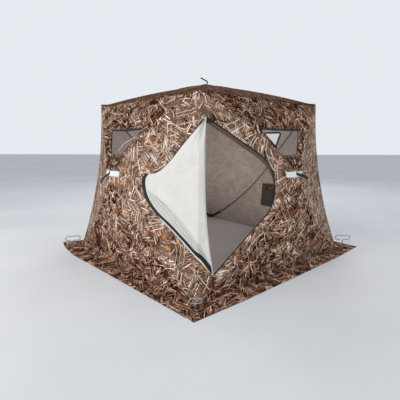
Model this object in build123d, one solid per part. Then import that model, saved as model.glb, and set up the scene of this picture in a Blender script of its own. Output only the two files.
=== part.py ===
from build123d import *
import math
import os

# Pop-up hub ice fishing hut: every wall and the roof is cloth pushed outward by
# a hub with four glass-fibre rods. Millimetres, +Z up, origin in the middle of
# the base on the ground, door side toward -Y, base corners on the X and Y axes.

# ---- main sizes ----
BASE_SIDE = 2400.0        # square on the ground, corner to corner of one wall
ROOF_SIDE = 1900.0        # square at the roof edge
CORNER_Z = 1800.0         # height of the roof corners
APEX_Z = 2052.0           # height of the roof hub
HUB_REACH = 1358.0        # wall hub, distance from the middle axis
HUB_Z = 1037.0            # wall hub, height
CORNER_SAG = 80.0         # upright corner seams bow in by this
UPPER_OUT, UPPER_IN = 22.0, 52.0   # bow of the upper rods: outward, toward the wall's middle
LOWER_OUT, LOWER_IN = 4.0, 86.0    # bow of the lower rods
ROOF_BOW = 30.0           # upward bow of the roof rods
WINDOW_SAG = 35.0         # the upper facets hang in by this in the middle
CLOTH = 0.0035            # cloth thickness as a share of the distance to CENTRE
ROD_IN = 0.0104           # rods run inside the seams by this share
ROD_IN_LOW = 0.0138       # lower rods stand off more, for their sleeves
SLEEVE_R = 8.5            # webbing sleeves on the lower rod ends
ROD_R = 5.5
HUB_T = 0.048             # hub patch reaches this far along the upper rods
HUB_TL = 0.038            # and along the lower rods
SKIRT = 200.0             # width of the ground skirt
SKIRT_T = 3.0
ANCHOR_D = 1790.0         # ice anchors stand this far out on each diagonal
ANCHOR_R = 5.5            # wire of the ice anchors
# each anchor: turn of its handle, height above the ice, half width and height of the handle loop
ANCHORS = {
    "front": (10, 62, 52, 44),
    "right": (0, 98, 93, 56),
    "back": (180, 98, 93, 56),
    "left": (22, 98, 88, 56),
}
# how far each skirt's outer edge lies outside its straight line, at shares of its length
SKIRT_LAY = {
    "front_right": [(0.2, 22), (0.5, 28), (0.8, 26)],
    "back_right": [(0.5, 0)],
    "back_left": [(0.5, 0), (0.80, -38), (0.94, -84)],
    "front_left": [(0.08, 60), (0.22, 98), (0.5, 60), (0.8, 22)],
}

CENTRE = Vector(0, 0, 900)
UP = Vector(0, 0, 1)
HALF_BASE = BASE_SIDE / math.sqrt(2)
HALF_ROOF = ROOF_SIDE / math.sqrt(2)

CORNERS = {
    "front": Vector(0, -1, 0), "right": Vector(1, 0, 0),
    "back": Vector(0, 1, 0), "left": Vector(-1, 0, 0),
}
WALLS = {
    "front_right": ("front", "right"), "back_right": ("right", "back"),
    "back_left": ("back", "left"), "front_left": ("left", "front"),
}
TOP = {k: d * HALF_ROOF + UP * CORNER_Z for k, d in CORNERS.items()}
FOOT = {k: d * HALF_BASE for k, d in CORNERS.items()}
OUT = {w: (CORNERS[a] + CORNERS[b]).normalized() for w, (a, b) in WALLS.items()}
HUB = {w: OUT[w] * HUB_REACH + UP * HUB_Z for w in WALLS}
APEX = UP * APEX_Z


# ---- curves and patches ----
def scaled(p, k):
    """A point moved toward or away from CENTRE."""
    return CENTRE + (p - CENTRE) * k


def rod_curve(hub, end, out, bow_out, bow_in, sense):
    """Three control points of a bowed rod from its hub to a corner."""
    chord = (end - hub).normalized()
    d = (out - chord * out.dot(chord)).normalized()
    e = chord.cross(d)
    if e.Z * sense < 0:
        e = e * -1
    return [hub, (hub + end) * 0.5 + d * (2 * bow_out) + e * (2 * bow_in), end]


def part_curve(c, t0, t1=1.0):
    """The piece of a three-point curve between two parameters."""
    def at(u, v):
        return c[0] * ((1 - u) * (1 - v)) + c[1] * ((1 - u) * v + u * (1 - v)) + c[2] * (u * v)
    return [at(t0, t0), at(t0, t1), at(t1, t1)]


def patch(side_a, side_b, far_mid=None, push=None):
    """A 3 x 3 control net between two side curves."""
    p00, p10, p20 = side_a
    p02, p12, p22 = side_b
    p01 = (p00 + p02) * 0.5
    p21 = (p20 + p22) * 0.5 if far_mid is None else far_mid
    p11 = (p10 + p12) * 0.5 + (p01 + p21) * 0.5 - (p00 + p02 + p20 + p22) * 0.25
    if push is not None:
        p11 = p11 + push
    return [[p00, p01, p02], [p10, p11, p12], [p20, p21, p22]]


def moved(net, k):
    return [[scaled(p, k) for p in row] for row in net]


def surface(net):
    return Face.make_bezier_surface([[p for p in row] for row in net])


def ruled(a, b):
    return Face.make_surface_from_curves(Edge.make_bezier(*a), Edge.make_bezier(*b))


def right_way(s):
    """The solid itself, turned inside out if its volume comes out negative."""
    if s.volume < 0:
        s = Solid(Shell([-f for f in s.faces()]))
    return s


def sheet_solid(net, k_out, k_in, net_in=None):
    """Cloth between two scales of one control net."""
    a = moved(net, k_out)
    b = moved(net_in or net, k_in)
    cols = [[n[i][j] for i in range(3)] for n in (a, b) for j in (0, 2)]
    faces = [surface(a), surface(b), ruled(a[0], b[0]), ruled(a[2], b[2]),
             ruled(cols[0], cols[2]), ruled(cols[1], cols[3])]
    return right_way(Solid(Shell(faces)))


def corner_mid(k):
    """Control point of an upright corner seam."""
    return (TOP[k] + FOOT[k]) * 0.5 - CORNERS[k] * (2 * CORNER_SAG)


RODS = {}
for w, (a, b) in WALLS.items():
    RODS[w] = {
        "top_a": rod_curve(HUB[w], TOP[a], OUT[w], UPPER_OUT, UPPER_IN, 1),
        "top_b": rod_curve(HUB[w], TOP[b], OUT[w], UPPER_OUT, UPPER_IN, 1),
        "foot_a": rod_curve(HUB[w], FOOT[a], OUT[w], LOWER_OUT, LOWER_IN, -1),
        "foot_b": rod_curve(HUB[w], FOOT[b], OUT[w], LOWER_OUT, LOWER_IN, -1),
    }
ROOF_RODS = {k: [APEX, (APEX + TOP[k]) * 0.5 + UP * (2 * ROOF_BOW), TOP[k]] for k in CORNERS}

NET = {}
for w, (a, b) in WALLS.items():
    r = RODS[w]
    ta, tb = part_curve(r["top_a"], HUB_T), part_curve(r["top_b"], HUB_T)
    fa, fb = part_curve(r["foot_a"], HUB_TL), part_curve(r["foot_b"], HUB_TL)
    NET[w, "upper"] = patch(ta, tb, push=OUT[w] * (-4 * WINDOW_SAG))
    NET[w, "lower"] = patch(fa, fb)
    NET[w, "side_a"] = patch(ta, fa, corner_mid(a))
    NET[w, "side_b"] = patch(tb, fb, corner_mid(b))
    NET[w, "hub"] = [[fa[0], (fa[0] + fb[0]) * 0.5, fb[0]],
                     [(fa[0] + ta[0]) * 0.5, (fa[0] + fb[0] + ta[0] + tb[0]) * 0.25, (fb[0] + tb[0]) * 0.5],
                     [ta[0], (ta[0] + tb[0]) * 0.5, tb[0]]]
    NET[w, "roof"] = patch(part_curve(ROOF_RODS[a], HUB_T), part_curve(ROOF_RODS[b], HUB_T))
q = {k: part_curve(ROOF_RODS[k], HUB_T)[0] for k in CORNERS}
NET["roof_hub"] = [[q["front"], (q["front"] + q["right"]) * 0.5, q["right"]],
                   [(q["front"] + q["left"]) * 0.5, (q["front"] + q["back"]) * 0.5, (q["right"] + q["back"]) * 0.5],
                   [q["left"], (q["left"] + q["back"]) * 0.5, q["back"]]]

K_IN = 1 - CLOTH

# the room inside the cloth, used to trim what sits against it
room_faces = [surface(moved(n, K_IN)) for n in NET.values()]
floor_ring = [scaled(FOOT[k], K_IN) for k in CORNERS]
room_faces.append(Face(Wire.make_polygon(floor_ring, close=True)))
ROOM = right_way(Solid(Shell(room_faces)))


def facet_plane(w, which):
    """Flat working plane of a facet: x across, y down."""
    a, b = WALLS[w]
    if which in ("side_a", "side_b"):
        k = a if which == "side_a" else b
        o = TOP[k]
        y = (FOOT[k] - TOP[k]).normalized()
        x = HUB[w] - o
        x = (x - y * x.dot(y)).normalized()
    elif which == "upper":
        o = (TOP[a] + TOP[b]) * 0.5
        x = (TOP[b] - TOP[a]).normalized()
        y = (HUB[w] - o).normalized()
    else:
        o = HUB[w]
        x = (TOP[b] - TOP[a]).normalized()
        y = ((FOOT[a] + FOOT[b]) * 0.5 - o).normalized()
    return Plane(origin=o, x_dir=x, z_dir=x.cross(y))


def prism(plane, sketch, depth=420.0):
    """A flat outline run through the cloth both ways."""
    return extrude(plane * sketch, amount=depth, both=True)


def outline(points, radii=None):
    """A closed outline with rounded corners: radii by corner number."""
    s = make_face(Polyline(*[Vector(x, y) for x, y in points], close=True))
    for i, r in (radii or {}).items():
        x, y = points[i]
        v = [v for v in s.vertices() if abs(v.X - x) < 0.01 and abs(v.Y - y) < 0.01]
        s = fillet(v, r)
    return s


def solids_of(shape):
    return [s for s in shape.solids() if s.volume > 1.0]


# ---- openings ----
WIN_TOP_Y, WIN_LOW_Y = 366.0, 648.0       # down the upper facet from the roof edge
WIN_TOP_HALF, WIN_LOW_HALF = 322.0, 121.0
WIN_SHIFT = 17.0                          # toward the front or back corner
window = outline([(-WIN_TOP_HALF, WIN_TOP_Y), (WIN_TOP_HALF, WIN_TOP_Y),
                  (WIN_LOW_HALF, WIN_LOW_Y), (-WIN_LOW_HALF, WIN_LOW_Y)],
                 {0: 12, 1: 12, 2: 12, 3: 12})
# +1 where a wall's second corner is the front or back one, and -1 where its first is
SENSE = {w: 1 if b in ("front", "back") else -1 for w, (a, b) in WALLS.items()}
WINDOW = {w: Pos(SENSE[w] * WIN_SHIFT, 0) * window for w in WALLS}
DOOR_TOP, DOOR_HUB, DOOR_FOOT = (75.0, 208.0), (1100.0, 731.0), (160.0, 1606.0)
DOOR_ROUND = 375.0
door = outline([DOOR_TOP, DOOR_HUB, DOOR_FOOT], {1: DOOR_ROUND})

parts = {}

# ---- cloth panels ----
for w in WALLS:
    parts["roof_panel_" + w] = [sheet_solid(NET[w, "roof"], 1, K_IN)]
    upper = sheet_solid(NET[w, "upper"], 1, K_IN)
    parts["upper_panel_" + w] = solids_of(upper - prism(facet_plane(w, "upper"), WINDOW[w]))
    parts["lower_panel_" + w] = [sheet_solid(NET[w, "lower"], 1, K_IN)]
CORNER_WALLS = {"front": ("front_left", "front_right"), "right": ("front_right", "back_right"),
                "back": ("back_right", "back_left"), "left": ("back_left", "front_left")}
for k, (w1, w2) in CORNER_WALLS.items():
    first = sheet_solid(NET[w1, "side_b"], 1, K_IN)
    second = sheet_solid(NET[w2, "side_a"], 1, K_IN)
    if k == "front":
        second = second - prism(facet_plane(w2, "side_a"), door)
    parts["corner_panel_" + k] = solids_of(first + second)
parts["hub_patches"] = [sheet_solid(NET[w, "hub"], 1, K_IN) for w in WALLS]
parts["hub_patches"].append(sheet_solid(NET["roof_hub"], 1, K_IN))

# ---- rods and hubs ----
K_ROD = 1 - ROD_IN
K_ROD_LOW = 1 - ROD_IN_LOW
ROD_START, ROD_END = 0.055, 0.972
SLEEVE_START, SLEEVE_END = 0.88, 0.955


def rod_solid(curve, r, k=K_ROD, t0=ROD_START, t1=ROD_END, hole=None):
    """A rod, or a sleeve on it, bent to a circular arc along its seam."""
    a, b, c = [scaled(part_curve(curve, t)[0], k) for t in (t0, (t0 + t1) / 2, t1 - 1e-6)]
    path = ThreePointArc(a, b, c)
    profile = Circle(r) if hole is None else Circle(r) - Circle(hole)
    return sweep(Plane(origin=path @ 0, z_dir=path % 0) * profile, path=path)


def hub_solid(centre_plane, curves, disc_r=40.0, disc_t=20.0, arm_r=8.5):
    """Moulded hub: a disc against the cloth and a socket for each rod."""
    body = extrude(centre_plane * Circle(disc_r), amount=-disc_t)
    mid = centre_plane.origin - centre_plane.z_dir * (disc_t * 0.6)
    for c, k in curves:
        end = scaled(part_curve(c, ROD_START + 0.012)[0], k)
        length = (end - mid).length
        arm = Plane(origin=mid, z_dir=end - mid) * Cylinder(arm_r, length, align=(Align.CENTER, Align.CENTER, Align.MIN))
        body = body + arm
    body = body & ROOM
    return body


all_rods = {}
for w in WALLS:
    rods = [rod_solid(c, ROD_R, K_ROD if n.startswith("top") else K_ROD_LOW) for n, c in RODS[w].items()]
    all_rods[w] = rods
    parts["rods_" + w] = rods
roof_rods = [rod_solid(c, ROD_R) for c in ROOF_RODS.values()]
parts["roof_rods"] = roof_rods


def hub_plane(net):
    pts = [scaled(net[i][j], K_IN) for i in (0, 2) for j in (0, 2)]
    mid = (pts[0] + pts[1] + pts[2] + pts[3]) * 0.25
    n = (pts[1] - pts[0]).cross(pts[2] - pts[0]).normalized()
    if n.dot(mid - CENTRE) < 0:
        n = n * -1
    return Plane(origin=mid, z_dir=n)


hubs = []
for w in WALLS:
    h = hub_solid(hub_plane(NET[w, "hub"]),
                  [(c, K_ROD if n.startswith("top") else K_ROD_LOW) for n, c in RODS[w].items()])
    for r in all_rods[w]:
        h = h - r
    hubs += solids_of(h)
parts["wall_hubs"] = hubs
h = hub_solid(hub_plane(NET["roof_hub"]), [(c, K_ROD) for c in ROOF_RODS.values()])
for r in roof_rods:
    h = h - r
parts["roof_hub"] = solids_of(h)

# ---- corner boots that hold the rod ends ----
BOOT_R = 58.0
upper_boots, lower_boots = [], []
for k, (w1, w2) in CORNER_WALLS.items():
    boot = (Pos(scaled(TOP[k], K_IN)) * Sphere(BOOT_R)) & ROOM
    i = list(CORNERS).index(k)
    for r in (roof_rods[i], all_rods[w1][1], all_rods[w2][0]):
        boot = boot - r
    upper_boots += solids_of(boot)
    boot = (Pos(scaled(FOOT[k], K_IN)) * Sphere(BOOT_R)) & ROOM
    for r in (all_rods[w1][3], all_rods[w2][2]):
        boot = boot - r
    lower_boots += solids_of(boot)
parts["upper_rod_boots"] = upper_boots
parts["lower_rod_boots"] = lower_boots
parts["rod_sleeves"] = []
for w in WALLS:
    for n in ("foot_a", "foot_b"):
        # the sleeve follows the rod's own arc, so it is cut from a fatter sweep of it
        fat = rod_solid(RODS[w][n], SLEEVE_R, K_ROD_LOW, hole=ROD_R)
        a, b = (scaled(part_curve(RODS[w][n], t)[0], K_ROD_LOW) for t in (SLEEVE_START, SLEEVE_END))
        slab = Plane(origin=(a + b) * 0.5, z_dir=b - a) * Box(300, 300, (b - a).length)
        parts["rod_sleeves"] += solids_of(fat & slab)

# ---- windows: clear pane, bound edge, cover rolled down below ----
panes, frames, covers, tabs = [], [], [], []
WINDOW_BIND = 18.0
COVER_T = 0.003
cover = outline([(-170, WIN_LOW_Y + 26), (170, WIN_LOW_Y + 26), (95, 800), (-95, 800)],
                {2: 15, 3: 15})
# across and down the facet, width, height, and what the tab is sewn on
tab_places = [(-264, 514, 32, 78, 0), (272, 536, 20, 66, 0), (-74, 708, 42, 36, COVER_T), (106, 706, 40, 34, COVER_T)]
for w in WALLS:
    pl = facet_plane(w, "upper")
    hole = prism(pl, WINDOW[w])
    panes += solids_of(sheet_solid(NET[w, "upper"], 1 - CLOTH * 0.3, 1 - CLOTH * 0.7) & hole)
    frames += solids_of(sheet_solid(NET[w, "upper"], 1.0016, 1) & prism(pl, offset(WINDOW[w], WINDOW_BIND) - WINDOW[w]))
    covers += solids_of(sheet_solid(NET[w, "upper"], 1 + COVER_T, 1) & prism(pl, Pos(SENSE[w] * WIN_SHIFT, 0) * cover))
    for x, y, wide, tall, base in tab_places:
        tabs += solids_of(sheet_solid(NET[w, "upper"], 1.0022 + base, 1 + base)
                          & prism(pl, Pos(SENSE[w] * x, y) * Rectangle(wide, tall)))
parts["window_panes"] = panes
parts["window_frames"] = frames
parts["window_covers"] = covers
parts["velcro_tabs"] = tabs

# ---- door ----
DOOR_W = "front_right"
door_pl = facet_plane("front_right", "side_a")
flap_pl = facet_plane("front_left", "side_b")
FLAP_T = 0.0036
FLAP_RAISE = 18.0
flap_left = outline([(-120, 177), (430, 668), (690, 708), (672, 876), (-120, 1584)],
                    {1: 60, 2: 30, 3: 60})
flap_right = outline([(-60, 341), DOOR_TOP, DOOR_FOOT, (-60, 1412)])
flap_net = [row[:] for row in NET["front_left", "side_b"]]
flap_net[1][1] = flap_net[1][1] + OUT["front_left"] * (4 * FLAP_RAISE)
flap = (sheet_solid(flap_net, 1 + FLAP_T, 1) & prism(flap_pl, flap_left)) + \
       (sheet_solid(NET["front_right", "side_a"], 1 + FLAP_T, 1) & prism(door_pl, flap_right))
parts["door_flap"] = solids_of(flap)
flap_tape = (offset(flap_left, -5.0) - offset(flap_left, -33.0)) & outline([(20, 1500), (20, 1300), (560, 660), (900, 660), (900, 1800), (20, 1800)])
parts["flap_zip"] = solids_of(sheet_solid(flap_net, 1 + FLAP_T + 0.0016, 1 + FLAP_T) & prism(flap_pl, flap_tape))
door_ring = (offset(door, 9.0) - door) - outline([(-60, 0), (DOOR_TOP[0] + 30, 0), (DOOR_FOOT[0] + 30, 1900), (-60, 1900)])
parts["door_zip"] = solids_of(sheet_solid(NET[DOOR_W, "side_a"], 1.0014, 1) & prism(door_pl, door_ring))
guard = outline([(120, 206), (760, 532), (742, 568), (102, 242)])
parts["zip_guard"] = solids_of(sheet_solid(NET[DOOR_W, "side_a"], K_IN, K_IN - 0.002) & prism(door_pl, guard))
pull = outline([(150, 1612), (168, 1612), (166, 1716), (152, 1716)])
parts["zip_pull"] = solids_of(sheet_solid(NET[DOOR_W, "side_a"], 1.003, 1) & prism(door_pl, pull))

# ---- bare name patches across the wall hubs ----
LABEL_T = 0.0012
LABEL_WIDE, LABEL_TALL, LABEL_Z, LABEL_SHIFT = 260.0, 56.0, 1046.0, 9.0
labels = []
for w in WALLS:
    pl = Plane(origin=OUT[w] * HUB_REACH + UP * LABEL_Z, x_dir=UP.cross(OUT[w]), z_dir=OUT[w])
    band = prism(pl, Pos(SENSE[w] * LABEL_SHIFT, 0) * Rectangle(LABEL_WIDE, LABEL_TALL), 200.0)
    strips = [sheet_solid(NET[w, f], 1 + LABEL_T, 1) & band for f in ("hub", "side_a", "side_b")]
    labels += solids_of(strips[0] + strips[1] + strips[2])
parts["label_patches"] = labels


# ---- pull straps ----
def strap(foot, out, along, width, thick, line):
    """A webbing tongue bent in one plane: (along, out) points from its sewn foot."""
    side = out.cross(along)
    pl = Plane(origin=foot - side * (width * 0.5), x_dir=along, z_dir=side)
    up = pl.y_dir.dot(out)
    mids = [Vector(x, y) for x, y in line]
    left, right = [], []
    for i, m in enumerate(mids):
        t = (mids[min(i + 1, len(mids) - 1)] - mids[max(i - 1, 0)]).normalized()
        n = Vector(-t.Y, t.X) * (thick / 2)
        left.append(m + n)
        right.append(m - n)
    ring = [(p.X, p.Y * up) for p in left + right[::-1]]
    return extrude(pl * make_face(Polyline(*ring, close=True)), amount=width, dir=side)


STRAP_W = {"front_right": 28.0, "back_right": 28.0, "back_left": 24.0, "front_left": 24.0}
STRAP_T = 4.0
STRAP_UP = 14.0                           # sewn this far above the hub's middle
# (along, out) points: the wall pulls stand off and run back along the wall, the roof pull
# rises and then leans to one side, with its broad face to the front
WALL_STRAP = [(-20, 2), (0, 2), (11, 6), (24, 18), (40, 32), (60, 43), (84, 50), (108, 53), (128, 50), (138, 42)]
# how far each wall pull drops for each millimetre it runs back
STRAP_FALL = {"front_right": 0.5, "back_right": 0.5, "back_left": 1.6, "front_left": 1.6}
ROOF_STRAP = [(0, 0), (0, 12), (3, 26), (7, 38), (7, 50), (-3, 59), (-22, 69), (-48, 83), (-76, 98)]
ROOF_STRAP_W = 15.0
straps = []
for w in WALLS:
    pl = hub_plane(moved(NET[w, "hub"], (1 + LABEL_T) / K_IN))
    way = OUT[w].cross(UP) * SENSE[w] - UP * STRAP_FALL[w]
    way = (way - pl.z_dir * way.dot(pl.z_dir)).normalized()
    rise = (UP - pl.z_dir * UP.dot(pl.z_dir)) * STRAP_UP
    straps += solids_of(strap(pl.origin + rise, pl.z_dir, way, STRAP_W[w], STRAP_T, WALL_STRAP))
top_pl = hub_plane(moved(NET["roof_hub"], 1 / K_IN))
straps += solids_of(strap(top_pl.origin, UP, Vector(1, 0, 0), STRAP_T, ROOF_STRAP_W, ROOF_STRAP))
parts["pull_straps"] = straps

# ---- ground skirt, grommets and ice anchors ----
HOLE = ANCHOR_R + 0.5
ANCHOR_AT = {k: d * ANCHOR_D for k, d in CORNERS.items()}
ANCHOR_AT["left"] = Vector(-1734, -220, 0)  # this one goes through the front wall's skirt
for w, (a, b) in WALLS.items():
    tip_a, tip_b = (CORNERS[k] * (HALF_BASE + SKIRT * math.sqrt(2)) for k in (a, b))
    lay = [tip_a + (tip_b - tip_a) * t + OUT[w] * d for t, d in SKIRT_LAY[w]]
    edge = Spline(tip_a, *lay, tip_b)
    ring = Wire([Edge.make_line(FOOT[b], FOOT[a]), Edge.make_line(FOOT[a], tip_a), edge.edge(),
                 Edge.make_line(tip_b, FOOT[b])])
    s = extrude(Face(ring), amount=SKIRT_T, dir=(0, 0, 1))
    for k in (a, b):
        s = s - Pos(ANCHOR_AT[k]) * Cylinder(HOLE, 40)
        s = s - parts["corner_panel_" + k][0]
    parts["skirt_" + w] = solids_of(s - parts["lower_panel_" + w][0])
grommets, anchors = [], []
for k, d in CORNERS.items():
    g = Pos(ANCHOR_AT[k] + UP * SKIRT_T) * (Cylinder(16, 2, align=(Align.CENTER, Align.CENTER, Align.MIN))
                                            - Cylinder(HOLE, 10))
    grommets += solids_of(g)
    turn, rise, half, tall = ANCHORS[k]
    across = Vector(math.cos(math.radians(turn)), math.sin(math.radians(turn)), 0)
    pl = Plane(origin=ANCHOR_AT[k], x_dir=across, z_dir=across.cross(UP))
    # shaft up from the ground, then the flat open loop of the handle
    bend = tall / 2 - 2
    path = pl * FilletPolyline((0, 0), (0, rise), (half, rise), (half, rise + tall), (-half, rise + tall),
                               (-half, rise), (-half / 3, rise), radius=[12, bend, bend, bend, bend])
    anchors += solids_of(sweep(Plane(origin=path @ 0, z_dir=path % 0) * Circle(ANCHOR_R), path=path))
parts["grommets"] = grommets
parts["ice_anchors"] = anchors

# ---- mesh pocket inside ----
pocket_pl = facet_plane("back_right", "lower")
POCKET_TOP, POCKET_LOW, POCKET_HALF = 335.0, 682.0, 120.0
pocket_body = sheet_solid(NET["back_right", "lower"], K_IN, K_IN - 0.026) & \
    prism(pocket_pl, outline([(-POCKET_HALF, POCKET_TOP), (POCKET_HALF, POCKET_TOP),
                              (POCKET_HALF, POCKET_LOW), (-POCKET_HALF, POCKET_LOW)]))
pocket_room = sheet_solid(NET["back_right", "lower"], K_IN + 0.0001, K_IN - 0.0235) & \
    prism(pocket_pl, outline([(-POCKET_HALF + 4, POCKET_TOP - 20), (POCKET_HALF - 4, POCKET_TOP - 20),
                              (POCKET_HALF - 4, POCKET_LOW - 4), (-POCKET_HALF + 4, POCKET_LOW - 4)]))
parts["inner_pocket"] = solids_of(pocket_body - pocket_room)

# ---- write one file per named piece ----
os.makedirs("parts", exist_ok=True)
for name, solids in parts.items():
    shape = solids[0] if len(solids) == 1 else Compound(children=solids)
    export_step(shape, "parts/" + name + ".step")
    print(name, len(solids), round(sum(s.volume for s in solids)))
print(len(parts), "pieces")
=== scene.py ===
"""Pop-up hub ice fishing hut: cloth, door, windows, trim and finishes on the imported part."""

import logging
import math
from dataclasses import dataclass, field
from enum import Enum

import bmesh
import bpy
import numpy as np
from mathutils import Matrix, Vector


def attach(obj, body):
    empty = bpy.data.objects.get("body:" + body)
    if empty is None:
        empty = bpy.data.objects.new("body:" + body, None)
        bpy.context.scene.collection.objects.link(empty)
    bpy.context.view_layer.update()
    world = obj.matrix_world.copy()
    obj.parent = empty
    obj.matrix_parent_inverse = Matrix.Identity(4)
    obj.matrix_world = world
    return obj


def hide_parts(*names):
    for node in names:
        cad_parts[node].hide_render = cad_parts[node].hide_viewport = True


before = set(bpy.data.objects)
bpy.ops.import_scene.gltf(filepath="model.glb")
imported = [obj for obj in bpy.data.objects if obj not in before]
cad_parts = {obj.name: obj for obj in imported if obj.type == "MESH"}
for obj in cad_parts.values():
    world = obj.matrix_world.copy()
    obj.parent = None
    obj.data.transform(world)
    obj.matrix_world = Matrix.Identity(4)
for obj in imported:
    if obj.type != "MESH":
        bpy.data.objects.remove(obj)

log = logging.getLogger("hut")

Array = np.ndarray
Colour = tuple[float, float, float]
Spot = tuple[float, float, float]
Profile = tuple[tuple[float, float], ...]
Socket = bpy.types.NodeSocket

# The one body, and the names of the layers that carry a mesh's print coordinates and creases; the lining
# paints shade into its colour by the crease layer.
ROOT = "root"
UV_PRINT = "print"
CREASE_SHADE = "crease"

# The hut's middle, which its cloth faces away from, and sizes in metres.
CENTRE = np.array([0.0, 0.0, 0.9])
UP = np.array([0.0, 0.0, 1.0])
ROOF_SIDE = 1.9
CORNER_Z = 1.8

# How high the cloth is drawn up at each roof corner, and how far round it.
EARS = {"left": 0.024, "right": 0.016, "back": 0.012}
EAR_REACH = 0.065

# The least height over the ice of wall cloth, and of tape and loose cloth.
CLOTH_FLOOR = 0.0025
TAPE_FLOOR = 0.0005

# The way to each corner, the corners at each wall's ends, and the walls that meet at each corner.
CORNERS = {
    "front": np.array([0.0, -1.0, 0.0]),
    "right": np.array([1.0, 0.0, 0.0]),
    "back": np.array([0.0, 1.0, 0.0]),
    "left": np.array([-1.0, 0.0, 0.0]),
}
WALLS = {
    "front_right": ("front", "right"),
    "back_right": ("right", "back"),
    "back_left": ("back", "left"),
    "front_left": ("left", "front"),
}
CORNER_WALLS = {
    "front": ("front_left", "front_right"),
    "right": ("front_right", "back_right"),
    "back": ("back_right", "back_left"),
    "left": ("back_left", "front_left"),
}


def unit(v: Array) -> Array:
    """The vectors at length one."""
    return v / np.maximum(np.linalg.norm(v, axis=-1, keepdims=True), 1e-12)


def bernstein(t: Array) -> Array:
    """The three quadratic weights at each parameter."""
    return np.stack([(1 - t) ** 2, 2 * t * (1 - t), t * t], -1)


def slopes(t: Array) -> Array:
    """The derivatives of the three quadratic weights."""
    return np.stack([-2 * (1 - t), 2 - 4 * t, 2 * t], -1)


def smooth(t: Array) -> Array:
    """A soft step from 0 to 1."""
    t = np.clip(t, 0.0, 1.0)
    return t * t * (3 - 2 * t)


def ripple(x: Array, y: Array, wavelength: float, seed: int, terms: int = 7) -> Array:
    """A smooth uneven surface made of a few crossing waves.

    Args:
        x: first coordinate, in metres.
        y: second coordinate, in metres.
        wavelength: middle wavelength, in metres.
        seed: which set of waves.
        terms: how many waves.

    Returns:
        Values of about -1 to 1.
    """
    rng = np.random.default_rng(seed)
    total = np.zeros(np.broadcast(x, y).shape)
    for _ in range(terms):
        a = rng.uniform(0, 2 * math.pi)
        k = 2 * math.pi / (wavelength * rng.uniform(0.55, 1.6))
        phase = rng.uniform(0, 6.3)
        total = total + np.sin(k * (x * math.cos(a) + y * math.sin(a)) + phase)
    return total / math.sqrt(terms)


def rounded(points: list[tuple[float, float]], radii: list[float], step: float = 0.012) -> Array:
    """A closed outline with its corners rounded.

    Args:
        points: the corners in order.
        radii: one radius for each corner.
        step: rough spacing of the points made, in metres.

    Returns:
        The outline's points, two columns.
    """
    p = np.array(points)
    out = []
    for i, r in enumerate(radii):
        a, b, c = p[i - 1], p[i], p[(i + 1) % len(p)]
        d1, d2 = unit(a - b), unit(c - b)
        half = math.acos(float(np.clip(d1 @ d2, -1, 1))) / 2
        if r <= 0:
            out.append(b)
            continue
        cut = r / math.tan(half)
        mid = b + unit(d1 + d2) * (r / math.sin(half))
        s, e = b + d1 * cut, b + d2 * cut
        a0, a1 = math.atan2(*(s - mid)[::-1]), math.atan2(*(e - mid)[::-1])
        turn = (a1 - a0 + math.pi) % (2 * math.pi) - math.pi
        for t in np.linspace(0, 1, max(3, int(abs(turn) * r / step) + 1)):
            ang = a0 + turn * t
            out.append(mid + r * np.array([math.cos(ang), math.sin(ang)]))
    ring = np.array(out)
    dense = []
    for a, b in zip(ring, np.roll(ring, -1, 0)):
        n = max(1, int(np.linalg.norm(b - a) / step))
        dense += [a + (b - a) * k / n for k in range(n)]
    return np.array(dense)


def ears(p: Array) -> Array:
    """Lifts cloth into a small ear where it is drawn over a roof corner.

    Args:
        p: points of the cloth.

    Returns:
        The points, raised near the corners.
    """
    lift = np.zeros(p.shape[:-1])
    for k, high in EARS.items():
        tip = CORNERS[k] * ROOF_SIDE / math.sqrt(2) + UP * CORNER_Z
        lift = lift + high * np.exp(-(((p - tip) ** 2).sum(-1) / EAR_REACH**2))
    return p + UP * lift[..., None]


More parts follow.
